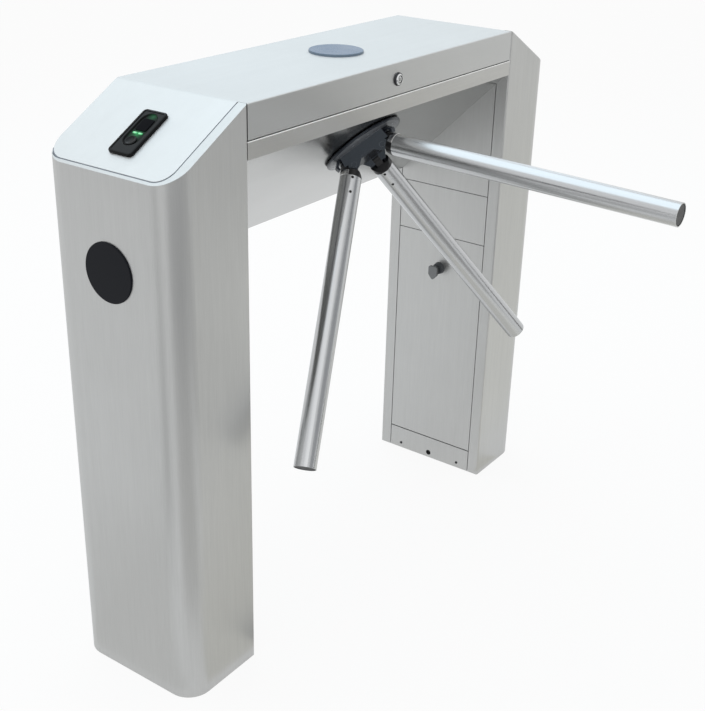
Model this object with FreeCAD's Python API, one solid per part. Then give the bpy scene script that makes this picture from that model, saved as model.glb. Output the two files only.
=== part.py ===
import FreeCAD, Part
import math
import os
from FreeCAD import Matrix, Placement
from FreeCAD import Vector as V

os.makedirs("parts", exist_ok=True)

# Driving sizes of the cabinet, in millimetres and degrees
length = 1100.0
width = 260.0
height = 980.0
leg_length = 162.0
slope_drop = 90.0
corner_radius = 42.0
inner_corner_radius = 3.0
sheet = 1.5
stile_width = 25.0
joint_gap = 1.5
past = 9.0
overlap = 1.0
touch = 0.01

# Lid
skirt_depth = 54.0
skirt_inset = 0.8
seam = 1.5
bend_radius = 14.0
edge_radius = 2.2
rim_side = 16.5
rim_end = 5.0
tongue_gap = 2.0
tongue_drop = 1.0

# Beam
rail_depth = 83.0
rail_round = 2.0
return_width = 20.0
panel_sheet = 2.0
panel_rise = 3.5
panel_foot = 24.5
panel_lip = 20.0
panel_bend = 3.0

# Inner faces of the legs
panel_thickness = 3.3
door_thickness = 3.0
frame_thickness = 4.0
frame_opening = 92.0
frame_bar = 14.0
cable_window_side = 24.0
cable_window_width = 60.0
cable_window_drop = 100.0
cable_window_height = 70.0
plinth_top = 50.4
door_top = 539.6
middle_top = 645.0
upper_drop = 20.0
lock_height = 467.0
lock_bar = 22.0
plinth_screw_y = 75.0
plinth_screw_z = 12.0
plinth_screw_radius = 2.6
plinth_hole_radius = 6.0

# Floor plates
base_thickness = 6.0
anchor_outer = 45.0
anchor_inner = 42.0
anchor_y = 85.0
anchor_radius = 7.0
cable_radius = 30.0

# Windows and readers
window_radius = 47.5
window_seat = 44.0
window_plug_gap = 0.2
top_window_rise = 4.0
end_window_rise = 2.5
end_window_drop = 240.0
window_plug = 5.0
window_edge = 1.4
reader_width = 47.0
reader_length = 93.0
reader_rise = 5.0
reader_corner = 8.0
reader_edge = 1.6
reader_place = 100.0
reader_pocket_width = 39.0
reader_pocket_length = 85.0
reader_pocket_depth = 0.8

# Lid hinge and lock
hinge_length = 640.0
hinge_knuckles = 16
hinge_radius = 4.0
hinge_pin_radius = 2.0
hinge_leaf = 1.5
hinge_leaf_height = 24.0
hinge_play = 0.4
running_fit = 0.05
lid_lock_drop = 28.0
lid_lock_radius = 9.0
lid_lock_head = 11.5
lid_lock_head_rise = 3.0
lid_lock_taper = 1.0
lid_lock_depth = 15.0
lid_cam_length = 22.0
lid_cam_width = 8.0
lid_cam_thickness = 2.5
lid_cam_round = 3.0
keeper_gap = 1.0
keeper_sheet = 2.5
keeper_width = 6.0
keeper_round = 3.0

# Door locks
boss_radius = 13.0
boss_rise = 9.0
boss_taper = 1.5
lock_core = 6.0
lock_barrel = 10.0
lock_barrel_length = 8.0
wing_stand = 22.0
wing_half = 10.5
wing_top = 11.0
wing_shoulder = 8.0
wing_tip = 20.0
wing_thickness = 5.0
wing_round = 4.0
cam_round = 3.0
door_cam_length = 30.0
door_cam_width = 10.0
door_cam_thickness = 2.5

# Tripod: the hub axis dips by hub_tilt towards the lane, square to the sloped panel
hub_tilt = 45.0
hub_y = -60.2
arm_angle = 43.3
apex_depth = 15.0
pivot_reach = 62.0
tube_start = 83.0
tube_end = 593.0
tube_radius = 19.0
tube_wall = 1.5
spigot_gap = 0.05
spigot_length = 42.0
cap_length = 16.0
cap_recess = 0.8
cap_edge = 1.5
grub_radius = 2.5
grub_first = 87.0
grub_pitch = 27.0
grub_turn = 12.0
tongue_half = 6.5
tongue_nose = 9.5
tongue_play = 1.0
fork_gap = 0.35
horn_nose = 9.5
collar_gap = 0.5
collar_chamfer = 9.0
heel_radius = 4.6
heel_out = 15.0
heel_past = 4.5
pivot_radius = 4.5

# Hub casting
flange_radius = 76.0
flange_back = 1.5
flange_rim = 4.6
flange_front = 7.2
flange_slope_radius = 62.0
flange_chamfer = 1.2
head_base = 38.0
head_top = 28.4
head_lean = 0.19
head_bevel = 3.5
head_reach = 57.0
wedge_top = 90.0
claw_half = 4.5
claw_root = 20.0
claw_out = 24.2
claw_thickness = 4.0
claw_end = 75.5
claw_tip = 21.0
claw_round = 3.5
hub_bore_depth = 22.0

# Mechanism behind the sloped panel, measured along the hub axis
shaft_radius = 15.0
shaft_back = -118.0
shaft_chamfer = 1.0
bush_radius = 20.0
bush_length = 24.0
housing_radius = 33.0
housing_back = -70.0
housing_flange = 60.0
housing_flange_thickness = 8.0
housing_flare = 10.0
housing_spigot = 36.0
housing_bolt_ring = 50.0
housing_bolt_radius = 3.3
plate_thickness = 6.0
plate_half_width = 96.0
plate_top = 66.0
plate_bottom = -84.0
plate_bore = 24.0
plate_corner = 12.0
lock_disc_back = -86.0
lock_disc_thickness = 6.0
lock_disc_radius = 34.0
lock_lug_radius = 42.0
lock_lug_root = 6.0
lock_lug_half_angle = 6.0
lock_lug_first = 202.0
pawl_x = -52.0
pawl_y = -38.0
pawl_boss = 8.0
pawl_stud = 3.0
pawl_stud_end = 2.0
pawl_half_width = 5.0
pawl_round = 4.0
pawl_nose_x = -43.6
pawl_tail = 22.0
plunger_radius = 4.0
plunger_length = 34.0
plunger_drop = 5.5
plunger_pin_gap = 0.35
plunger_slot_play = 0.6
pawl_pin_radius = 1.8
pawl_pin_length = 7.0
solenoid_length = 26.0
solenoid_half = 13.0
solenoid_round = 3.0
solenoid_margin = 2.0
gear_module = 2.0
gear_teeth = 48
pinion_teeth = 16
gear_backlash = 0.3
gear_dedendum = 1.25
gear_addendum = 0.95
flank_steps = 3
root_spread = 0.02
pressure_angle = 25.0
gear_back = -102.0
gear_thickness = 8.0
gear_hole_ring = 31.0
gear_hole_radius = 8.0
damper_direction = -45.0
damper_radius = 22.0
damper_length = 38.0
damper_shaft = 5.0
damper_shaft_play = 2.0
damper_chamfer = 4.0
damper_end_play = 1.0
encoder_back = -111.0
encoder_thickness = 1.5
encoder_radius = 45.0
encoder_slots = 12
encoder_slot_width = 4.0
encoder_slot_depth = 7.0
encoder_rim = 3.0
encoder_gap = 1.5
sensor_direction = 60.0
sensor_reach = 64.0
sensor_half_width = 7.0
sensor_jaw = 3.0
sensor_gear_gap = 2.0

# Control board and power supply on the back panel
board_inset = 78.0
board_length = 170.0
board_drop = 250.0
board_height = 140.0
board_thickness = 2.0
board_standoff = 7.0
board_foot_inset = 8.0
board_foot_radius = 3.0
# Terminal strip, processor, relay block and transformer: place along and up the board, then size
board_parts = ((20.0, 14.0, 110.0, 16.0, 12.0), (24.0, 60.0, 34.0, 34.0, 4.0),
               (80.0, 58.0, 52.0, 22.0, 14.0), (80.0, 96.0, 30.0, 24.0, 18.0))
supply_inset = 78.0
supply_length = 160.0
supply_drop = 250.0
supply_height = 98.0
supply_depth = 40.0
terminal_ledge = 14.0
terminal_height = 12.0

# Values that follow from the sizes above
x_end = -length / 2
x_in = x_end + leg_length
half = width / 2
slope_rate = slope_drop / leg_length
slope_angle = math.atan(slope_rate)
rim_height = sheet / math.cos(slope_angle)
skirt_bottom = height - skirt_depth
rail_top = skirt_bottom - seam
rail_bottom = height - rail_depth
opening = half - stile_width
panel_half = opening - joint_gap
panel_back = x_in - panel_thickness
frame_back = panel_back - frame_thickness
door_bottom = plinth_top + joint_gap
upper_top = height - upper_drop
lid_lock_height = height - lid_lock_drop
end_window_height = height - end_window_drop
cable_window_top = height - cable_window_drop
cable_window_bottom = cable_window_top - cable_window_height
board_x = -x_in - board_inset - board_length
board_z = height - board_drop
supply_x = x_in + supply_inset
supply_z = height - supply_drop
tilt = math.radians(hub_tilt)
lip_y = sheet - half
lip_z = rail_bottom + panel_rise
panel_end = half - sheet - panel_foot
plate_back = housing_back - plate_thickness
axis_out = V(0, -math.cos(tilt), -math.sin(tilt))
axis_up = V(0, -math.sin(tilt), math.cos(tilt))
axis_side = V(1, 0, 0)


def slope_z(x):
    return height - slope_rate * (x_in - x)


def panel_z(y):
    # Height of the beam's sloped underside, square to the hub axis
    return lip_z - (y - lip_y) / math.tan(tilt)


panel_end_z = panel_z(panel_end)
hub_centre = V(0, hub_y, panel_z(hub_y))
apex = hub_centre - axis_out * apex_depth


def outline(points):
    # Closed wire through (x, y, radius) corners, each rounded by its own radius
    arcs = []
    for index, (px, py, radius) in enumerate(points):
        corner = V(px, py, 0)
        before = V(points[index - 1][0], points[index - 1][1], 0) - corner
        after = V(points[(index + 1) % len(points)][0], points[(index + 1) % len(points)][1], 0) - corner
        before.normalize()
        after.normalize()
        if radius <= 0:
            arcs.append((corner, None, corner))
            continue
        half_angle = before.getAngle(after) / 2
        reach = radius / math.tan(half_angle)
        to_centre = before + after
        to_centre.normalize()
        middle = corner + to_centre * (radius / math.sin(half_angle) - radius)
        arcs.append((corner + before * reach, middle, corner + after * reach))
    edges = []
    for index, (start, middle, end) in enumerate(arcs):
        if middle is not None:
            edges.append(Part.Arc(start, middle, end).toShape())
        following = arcs[(index + 1) % len(arcs)][0]
        if (following - end).Length > 1e-6:
            edges.append(Part.makeLine(end, following))
    return Part.Wire(edges)


def slab(points, low, high):
    # Plan outline raised from low to high along Z
    shape = Part.Face(outline(points)).extrude(V(0, 0, high - low))
    shape.translate(V(0, 0, low))
    return shape


def place(origin, ex, ey, ez):
    return Placement(Matrix(ex.x, ey.x, ez.x, origin.x, ex.y, ey.y, ez.y, origin.y,
                            ex.z, ey.z, ez.z, origin.z, 0, 0, 0, 1))


def put(shape, placement):
    moved = shape.copy()
    moved.Placement = placement.multiply(moved.Placement)
    return moved


def across(points, low, high):
    # Outline in the XZ plane, run along Y from low to high
    return put(slab(points, -high, -low), place(V(), V(1, 0, 0), V(0, 0, 1), V(0, -1, 0)))


def along(points, low, high):
    # Outline in the YZ plane, run along X from low to high
    return put(slab(points, low, high), place(V(), V(0, 1, 0), V(0, 0, 1), V(1, 0, 0)))


def box(x0, x1, y0, y1, z0, z1):
    return Part.makeBox(x1 - x0, y1 - y0, z1 - z0, V(x0, y0, z0))


def rod(radius, start, end):
    direction = end - start
    return Part.makeCylinder(radius, direction.Length, start, direction)


def turned(points):
    # Profile of (radius, height) corners revolved about Z
    corners = [V(radius, 0, level) for radius, level in points]
    corners.append(corners[0])
    return Part.Face(Part.makePolygon(corners)).revolve(V(), V(0, 0, 1), 360)


def rounded_edge(shape, radius, wanted):
    edges = [edge for edge in shape.Edges if wanted(edge)]
    return shape.makeFillet(radius, edges)


def far_side(shape):
    return shape.mirror(V(), V(1, 0, 0))


def save(shape, name):
    solids = shape.Solids
    solid = solids[0] if len(solids) == 1 else shape
    solid.exportStep("parts/" + name + ".step")
    print(name, len(solids), "solid", round(shape.Volume / 1000, 1), "cm3")


def save_pair(shape, name):
    save(shape, name + "_near")
    save(far_side(shape), name + "_far")


# Legs


def leg_corners(inset, inner_x, inner_radius):
    radius = corner_radius - inset
    return [(x_end + inset, inset - half, radius), (inner_x, inset - half, inner_radius),
            (inner_x, half - inset, inner_radius), (x_end + inset, half - inset, radius)]


def tongue_corners(gap):
    # Plan of the sloping end of the lid, grown by gap, as far as the bend
    end_x = x_end + rim_end + tongue_gap - gap
    side_y = rim_side + tongue_gap - half - gap
    return [(end_x, side_y, corner_radius - rim_side), (x_in + gap, side_y, 0),
            (x_in + gap, half + gap, 0), (end_x, half + gap, corner_radius - rim_end)]


def leg_shell():
    outer = slab(leg_corners(0, x_in, inner_corner_radius), 0, height)
    inner = slab(leg_corners(sheet, x_in - sheet, inner_corner_radius - sheet), 0, height)
    wall = outer.cut(inner)
    wall = wall.cut(box(x_in - past, x_in + past, -opening, opening, -past, height + past))
    band = across([(x_end, slope_z(x_end), 0), (x_in, height, 0), (x_in, height - rim_height, 0),
                   (x_end, slope_z(x_end) - rim_height, 0)], -half, half)
    shell = wall.fuse(band.common(outer))
    above = across([(x_end - past, slope_z(x_end - past), 0), (x_in + past, slope_z(x_in + past), 0),
                    (x_in + past, height + leg_length, 0), (x_end - past, height + leg_length, 0)],
                   -width, width)
    lowered = above.copy()
    lowered.translate(V(0, 0, -rim_height - tongue_drop))
    tongue_hole = slab(tongue_corners(tongue_gap), slope_z(x_end) - past, height + past)
    shell = shell.cut(above).cut(lowered.common(tongue_hole))
    seat_centre = V(x_end, 0, end_window_height)
    shell = shell.cut(rod(window_seat, seat_centre - V(past, 0, 0), seat_centre + V(past, 0, 0)))
    return shell.removeSplitter()


def leg_frame():
    # Ladder of one plate: door opening below, cable openings above
    lock_edge = lock_height + lock_bar
    plate = box(frame_back, panel_back, sheet - half, half - sheet, base_thickness, upper_top)
    for low, high in ((plinth_top + frame_bar, lock_edge), (door_top + frame_bar, middle_top - frame_bar),
                      (middle_top + frame_bar, cable_window_bottom - frame_bar)):
        plate = plate.cut(box(frame_back - past, panel_back + past, -frame_opening, frame_opening,
                              low, high))
    return plate.cut(cable_window())


def cable_window():
    return box(frame_back - past, x_in + past, cable_window_side, cable_window_side + cable_window_width,
               cable_window_bottom, cable_window_top)


def inner_panel(low, high):
    return box(panel_back, x_in, -panel_half, panel_half, low, high)


def plinth():
    strip = inner_panel(0, plinth_top)
    for y, radius in ((-plinth_screw_y, plinth_screw_radius), (0, plinth_hole_radius),
                      (plinth_screw_y, plinth_screw_radius)):
        strip = strip.cut(rod(radius, V(panel_back - past, y, plinth_screw_z),
                              V(x_in + past, y, plinth_screw_z)))
    return strip


def base_plate():
    plate = slab(leg_corners(sheet, panel_back, 0), 0, base_thickness)
    outer_x = x_end + anchor_outer
    inner_x = x_in - anchor_inner
    for x in (outer_x, inner_x):
        for y in (-anchor_y, anchor_y):
            plate = plate.cut(rod(anchor_radius, V(x, y, -past), V(x, y, base_thickness + past)))
    middle = (outer_x + inner_x) / 2
    return plate.cut(rod(cable_radius, V(middle, 0, -past), V(middle, 0, base_thickness + past)))


def window_disc(rise):
    disc = Part.makeCylinder(window_radius, rise)
    disc = rounded_edge(disc, window_edge, lambda edge: edge.BoundBox.ZMin > rise - touch)
    return disc.fuse(rod(window_seat - window_plug_gap, V(0, 0, -window_plug), V()))


def end_window():
    return put(window_disc(end_window_rise), place(V(x_end, 0, end_window_height), V(0, 1, 0), V(0, 0, -1),
                                                   V(-1, 0, 0)))


save_pair(leg_shell(), "leg_shell")
save_pair(leg_frame(), "leg_frame")
save_pair(base_plate(), "base_plate")
save_pair(plinth(), "plinth")
save_pair(inner_panel(door_top + joint_gap, middle_top), "middle_panel")
save_pair(inner_panel(middle_top + joint_gap, upper_top).cut(cable_window()), "upper_panel")
save_pair(end_window(), "end_window")

# Doors with their locks


def door():
    # The lower edge is rolled, and the door tilts out about it
    axis_x = x_in - door_thickness / 2
    axis_z = door_bottom + door_thickness / 2
    plate = box(x_in - door_thickness, x_in, -panel_half, panel_half, axis_z, door_top)
    rolled = rod(door_thickness / 2, V(axis_x, -panel_half, axis_z), V(axis_x, panel_half, axis_z))
    hole = rod(lock_barrel, V(x_in - past, 0, lock_height), V(x_in + past, 0, lock_height))
    return plate.fuse(rolled).removeSplitter().cut(hole)


def door_lock():
    centre = V(x_in, 0, lock_height)
    out = V(1, 0, 0)
    boss = Part.makeCone(boss_radius, boss_radius - boss_taper, boss_rise, centre, out)
    barrel = rod(lock_barrel, centre - out * lock_barrel_length, centre)
    bore = rod(lock_core + running_fit, centre - out * (lock_barrel_length + past),
               centre + out * (boss_rise + past))
    return boss.fuse(barrel).removeSplitter().cut(bore)


def door_wing():
    # Shield-shaped handle on a stem, core through the lock, cam behind the frame's cross bar
    facing = place(V(x_in, 0, lock_height), V(0, 1, 0), V(0, 0, 1), V(1, 0, 0))
    back = -lock_barrel_length - hinge_play
    handle = slab([(-wing_half, wing_top, wing_round), (-wing_half, -wing_shoulder, wing_round),
                   (0, -wing_tip, wing_round), (wing_half, -wing_shoulder, wing_round),
                   (wing_half, wing_top, wing_round)], wing_stand, wing_stand + wing_thickness)
    core = rod(lock_core, V(0, 0, back - door_cam_thickness), V(0, 0, wing_stand))
    side = door_cam_width / 2
    cam = slab([(-side, -side, cam_round), (door_cam_length, -side, cam_round),
                (door_cam_length, side, cam_round), (-side, side, cam_round)],
               back - door_cam_thickness, back)
    return put(handle.fuse([core, cam]).removeSplitter(), facing)


save_pair(door(), "door")
save_pair(door_lock(), "door_lock")
save_pair(door_wing(), "door_wing")

# Beam between the legs


def beam_rail():
    front = [(-half, rail_bottom, 0), (sheet - half, rail_bottom, 0), (sheet - half, rail_top - sheet, 0),
             (return_width - half, rail_top - sheet, 0), (return_width - half, rail_top, 0),
             (-half, rail_top, rail_round)]
    rail = along(front, x_in, -x_in)
    cam_y = sheet + skirt_inset + lid_lock_depth - half
    roof = lid_lock_height + lid_cam_width / 2 + keeper_gap
    post_x = lid_cam_length + keeper_gap
    top = roof + keeper_sheet
    side_x = post_x + keeper_sheet
    keeper = across([(side_x, rail_top - sheet, 0), (side_x, top, keeper_round), (post_x / 2, top, 0),
                     (post_x / 2, roof, 0), (post_x, roof, keeper_round - keeper_sheet),
                     (post_x, rail_top - sheet, 0)], cam_y - keeper_width, cam_y + lid_cam_thickness)
    return rail.fuse(keeper).removeSplitter()


def beam_panel():
    # Bent sheet: upright lip behind the rail, sloped underside, flat foot to the back panel
    lip_turn = panel_sheet * math.tan(tilt / 2)
    foot_turn = panel_sheet * math.tan((math.pi / 2 - tilt) / 2)
    outer_bend = panel_bend + panel_sheet
    profile = [(lip_y, lip_z, panel_bend), (panel_end, panel_end_z, outer_bend),
               (half - sheet, panel_end_z, 0), (half - sheet, panel_end_z + panel_sheet, 0),
               (panel_end + foot_turn, panel_end_z + panel_sheet, panel_bend),
               (lip_y + panel_sheet, lip_z + lip_turn, outer_bend),
               (lip_y + panel_sheet, lip_z + panel_lip, 0), (lip_y, lip_z + panel_lip, 0)]
    panel = along(profile, x_in, -x_in)
    return panel.cut(rod(housing_spigot, hub_centre - axis_out * past, hub_centre + axis_out * past))


def beam_back():
    low = panel_end_z - panel_sheet
    profile = [(half, low, 0), (half, rail_top, 0), (half - return_width, rail_top, 0),
               (half - return_width, rail_top - sheet, 0), (half - sheet, rail_top - sheet, 0),
               (half - sheet, low, 0)]
    return along(profile, x_in, -x_in)


save(beam_rail(), "beam_rail")
save(beam_panel(), "beam_panel")
save(beam_back(), "beam_back")

# Lid with hinge, window, readers and lock
hinge_y = half + hinge_radius
hinge_z = (skirt_bottom + rail_top) / 2


def lid():
    end_x = x_end + rim_end + tongue_gap
    front_y = skirt_inset - half
    inner_x = x_in + (rim_height - sheet) / slope_rate
    bend = [(end_x, slope_z(end_x), 0), (x_in, height, bend_radius), (-x_in, height, bend_radius),
            (-end_x, slope_z(end_x), 0), (-end_x, slope_z(end_x) - rim_height, 0),
            (-inner_x, height - sheet, bend_radius - sheet), (inner_x, height - sheet, bend_radius - sheet),
            (end_x, slope_z(end_x) - rim_height, 0)]
    cover = across(bend, front_y, half)
    tongue = tongue_corners(0)
    shoulder = x_in + joint_gap
    plan = [tongue[0], (shoulder, tongue[1][1], 0), (shoulder, front_y, 0), (-shoulder, front_y, 0),
            (-shoulder, tongue[1][1], 0), (-end_x, tongue[0][1], tongue[0][2]),
            (-end_x, half, tongue[3][2]), tongue[3]]
    cover = cover.common(slab(plan, slope_z(x_end) - past, height + past))
    for low, high in ((front_y, front_y + sheet), (half - sheet, half)):
        cover = cover.fuse(box(shoulder, -shoulder, low, high, skirt_bottom, height - sheet))
    cover = cover.removeSplitter()
    corner = V(0, front_y, height)
    cover = rounded_edge(cover, edge_radius, lambda edge: edge.Length > length / 2
                         and abs(edge.CenterOfMass.y - corner.y) < touch
                         and abs(edge.CenterOfMass.z - corner.z) < touch)
    cover = cover.cut(rod(window_seat, V(0, 0, height - past), V(0, 0, height + past)))
    lock_centre = V(0, front_y, lid_lock_height)
    return cover.cut(rod(lid_lock_radius, lock_centre - V(0, past, 0), lock_centre + V(0, past, 0)))


def hinge_leaf_part(upward, first):
    # Flat leaf with every second knuckle, above or below the axis
    side = 1 if upward else -1
    pitch = hinge_length / hinge_knuckles
    start = -hinge_length / 2
    clear = hinge_z + side * (hinge_radius + hinge_play)
    tip = hinge_z + side * hinge_leaf_height
    leaf = box(start, -start, half, half + hinge_leaf, min(clear, tip), max(clear, tip))
    play = 0 if first == 0 else hinge_play
    for index in range(first, hinge_knuckles, 2):
        x0 = start + index * pitch + play
        x1 = start + (index + 1) * pitch - play
        web = box(x0, x1, half, half + hinge_leaf, min(hinge_z, clear), max(hinge_z, clear))
        barrel = rod(hinge_radius, V(x0, hinge_y, hinge_z), V(x1, hinge_y, hinge_z))
        leaf = leaf.fuse([web, barrel])
    bore = hinge_pin_radius + (running_fit if upward else 0)
    hole = rod(bore, V(start - past, hinge_y, hinge_z), V(past - start, hinge_y, hinge_z))
    return leaf.removeSplitter().cut(hole)


def hinge_pin():
    start = -hinge_length / 2
    return rod(hinge_pin_radius, V(start, hinge_y, hinge_z), V(-start, hinge_y, hinge_z))


def reader():
    end = reader_length / 2
    side = reader_width / 2
    plan = [(-end, -side, reader_corner), (end, -side, reader_corner), (end, side, reader_corner),
            (-end, side, reader_corner)]
    body = slab(plan, 0, reader_rise)
    body = rounded_edge(body, reader_edge, lambda edge: edge.BoundBox.ZMin > reader_rise - touch)
    border = end - reader_pocket_length / 2
    pocket_end = reader_pocket_length / 2
    pocket_side = reader_pocket_width / 2
    inset = [(math.copysign(pocket_end, x), math.copysign(pocket_side, y), radius - border)
             for x, y, radius in plan]
    body = body.cut(slab(inset, reader_rise - reader_pocket_depth, reader_rise + past))
    down = V(-math.cos(slope_angle), 0, -math.sin(slope_angle))
    normal = V(-math.sin(slope_angle), 0, math.cos(slope_angle))
    return put(body, place(V(x_in, 0, height) + down * reader_place, down * -1, V(0, 1, 0), normal))


def lid_lock():
    # Head outside the skirt, barrel, and a cam that hangs down and turns up under the keeper
    face = skirt_inset - half
    back = face + sheet + lid_lock_depth
    head = Part.makeCone(lid_lock_head - lid_lock_taper, lid_lock_head, lid_lock_head_rise,
                         V(0, face - lid_lock_head_rise, lid_lock_height), V(0, 1, 0))
    barrel = rod(lid_lock_radius - running_fit, V(0, face, lid_lock_height), V(0, back, lid_lock_height))
    side = lid_cam_width / 2
    tip = lid_lock_height - lid_cam_length
    root = lid_lock_height + side
    cam = across([(-side, tip, lid_cam_round), (side, tip, lid_cam_round), (side, root, lid_cam_round),
                  (-side, root, lid_cam_round)], back, back + lid_cam_thickness)
    return head.fuse([barrel, cam]).removeSplitter()


save(lid(), "lid")
save(hinge_leaf_part(True, 1), "lid_hinge_leaf")
save(hinge_leaf_part(False, 0), "hinge_leaf")
save(hinge_pin(), "hinge_pin")
top_window = window_disc(top_window_rise)
top_window.translate(V(0, 0, height))
save(top_window, "top_window")
save_pair(reader(), "reader")
save(lid_lock(), "lid_lock")

# Tripod head: pieces are drawn in the hub's own frame, Z out along the axis
hub_place = place(hub_centre, axis_side, axis_up, axis_out)
cone = math.radians(arm_angle)


def arm_place(number):
    # Frame of one arm: X across the pivot, Y to the back of the arm, Z out along it
    turn = math.radians(120 * number)
    radial = axis_side * math.sin(turn) + axis_up * math.cos(turn)
    across_pivot = axis_side * math.cos(turn) - axis_up * math.sin(turn)
    outward = axis_out * math.cos(cone) + radial * math.sin(cone)
    return place(apex, across_pivot, outward.cross(across_pivot), outward)


def facets(level, top):
    # Three-sided block whose faces lean inwards, from level to top, sharp at the corners
    wires = []
    for height_out in (level, top):
        apothem = head_base - head_lean * (height_out - flange_front)
        corners = []
        for number in range(3):
            turn = math.radians(120 * number)
            corners.append((-2 * apothem * math.sin(turn), 2 * apothem * math.cos(turn), 0))
        wire = outline(corners)
        wire.translate(V(0, 0, height_out))
        wires.append(wire)
    return Part.makeLoft(wires, True)


def pivot_rod(radius, reach):
    return rod(radius, V(-reach, 0, pivot_reach), V(reach, 0, pivot_reach))


def upright_plate(points, reach):
    # Outline in the plane of the arm and the hub axis, run across the pivot
    return put(slab(points, -reach, reach), place(V(), V(0, 1, 0), V(0, 0, 1), V(1, 0, 0)))


def round_nosed(nose, level, reach):
    # Round-nosed bar seen across the pivot, from level to the nose at the pivot
    bar = upright_plate([(-nose, level, 0), (nose, level, 0), (nose, pivot_reach, 0),
                         (-nose, pivot_reach, 0)], reach)
    return bar.fuse(pivot_rod(nose, reach))


def claw():
    # Hooked finger on the flange, over the heel of the arm
    sunk = flange_front - overlap + apex_depth
    inner = (sunk + claw_root * math.sin(cone)) / math.cos(cone)
    back_out = claw_out + claw_thickness
    outer = (sunk + back_out * math.sin(cone)) / math.cos(cone)
    tip_start = claw_end - claw_thickness
    return upright_plate([(claw_root, inner, 0), (back_out, outer, 0),
                          (back_out, claw_end - claw_round, claw_round), (claw_tip, claw_end, 0),
                          (claw_tip, tip_start, 0), (claw_out, tip_start - claw_round, 0),
                          (claw_out, outer + claw_round, claw_round)], claw_half)


def hub():
    inner_rim = flange_radius - flange_chamfer
    dish = turned([(0, flange_back), (inner_rim, flange_back),
                   (flange_radius, flange_back + flange_chamfer), (flange_radius, flange_rim),
                   (inner_rim, flange_rim + flange_chamfer), (flange_slope_radius, flange_front),
                   (0, flange_front)])
    block = facets(flange_front - overlap, head_top)
    drum = turned([(0, 0), (head_reach, 0), (head_reach, head_top - head_bevel),
                   (head_reach - head_bevel, head_top), (0, head_top)])
    top_edges = [edge for edge in block.Edges if edge.BoundBox.ZMin > head_top - touch]
    head = block.makeChamfer(head_bevel, top_edges).common(drum)
    body = put(dish.fuse(head), hub_place)
    wedge = put(facets(flange_back, wedge_top), hub_place)
    slot = tongue_half + fork_gap
    opening_start = pivot_reach - tongue_nose - tongue_play
    for number in range(3):
        frame = arm_place(number)
        horn = put(round_nosed(horn_nose, pivot_reach / 2, flange_radius), frame).common(wedge)
        body = body.fuse([horn, put(claw(), frame)])
    for number in range(3):
        frame = arm_place(number)
        gap = box(-slot, slot, -flange_radius, claw_root, opening_start, tube_end)
        body = body.cut(put(gap, frame)).cut(put(pivot_rod(pivot_radius, flange_radius), frame))
    bore = put(rod(shaft_radius, V(0, 0, -past), V(0, 0, hub_bore_depth)), hub_place)
    return body.cut(bore).removeSplitter()


def knuckle():
    # Tongue between the hub's cheeks, collar against the tube, heel under the claw, spigot in the tube
    collar_start = pivot_reach + horn_nose + collar_gap
    collar = rod(tube_radius, V(0, 0, collar_start), V(0, 0, tube_start))
    inner = -tube_radius
    cut_in = inner + collar_chamfer
    cut_end = collar_start + collar_chamfer
    corner = upright_plate([(inner - past, collar_start - past, 0), (cut_in, collar_start - past, 0),
                            (cut_in, collar_start, 0), (inner, cut_end, 0), (inner - past, cut_end, 0)],
                           tube_radius + past)
    root = collar_start + overlap
    tongue = upright_plate([(-tongue_nose, pivot_reach, 0), (tongue_nose, pivot_reach, 0),
                            (tongue_nose, root, 0), (-tongue_nose, root, 0)], tongue_half)
    heel_level = pivot_reach + heel_past
    low = heel_level - heel_radius
    high = heel_level + heel_radius
    heel = upright_plate([(0, low, 0), (heel_out, low, 0), (heel_out, high, 0), (0, high, 0)], tongue_half)
    ear = rod(heel_radius, V(-tongue_half, heel_out, heel_level), V(tongue_half, heel_out, heel_level))
    spigot = rod(tube_radius - tube_wall - spigot_gap, V(0, 0, tube_start - overlap),
                 V(0, 0, tube_start + spigot_length))
    body = collar.cut(corner).fuse([tongue, pivot_rod(tongue_nose, tongue_half), heel, ear, spigot])
    return body.cut(pivot_rod(pivot_radius + running_fit, tube_radius * 2)).removeSplitter()


def pivot_pin(number):
    # Pressed into both cheeks, its ends dressed flush with the hub's faces
    wedge = put(facets(flange_back, wedge_top), hub_place)
    return put(pivot_rod(pivot_radius, flange_radius), arm_place(number)).common(wedge)


def tube():
    pipe = rod(tube_radius, V(0, 0, tube_start), V(0, 0, tube_end))
    pipe = pipe.cut(rod(tube_radius - tube_wall, V(0, 0, tube_start), V(0, 0, tube_end)))
    turn = math.radians(grub_turn)
    for level in (grub_first, grub_first + grub_pitch):
        centre = V(0, 0, level)
        for side in (V(1, 0, 0), V(math.sin(turn), -math.cos(turn), 0)):
            pipe = pipe.cut(rod(grub_radius, centre, centre + side * (tube_radius + past)))
    return pipe


def end_cap():
    # Plug set just inside the end of the tube
    face = tube_end - cap_recess
    plug = rod(tube_radius - tube_wall, V(0, 0, face - cap_length), V(0, 0, face))
    return rounded_edge(plug, cap_edge, lambda edge: edge.BoundBox.ZMin > face - touch)


save(hub(), "hub")
for number in range(3):
    label = str(number + 1)
    save(put(knuckle(), arm_place(number)), "arm_knuckle_" + label)
    save(pivot_pin(number), "arm_pin_" + label)
    save(put(tube(), arm_place(number)), "arm_tube_" + label)
    save(put(end_cap(), arm_place(number)), "arm_cap_" + label)

# Mechanism on the hub axis


def shaft():
    return turned([(0, shaft_back), (shaft_radius - shaft_chamfer, shaft_back),
                   (shaft_radius, shaft_back + shaft_chamfer), (shaft_radius, hub_bore_depth),
                   (0, hub_bore_depth)])


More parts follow.
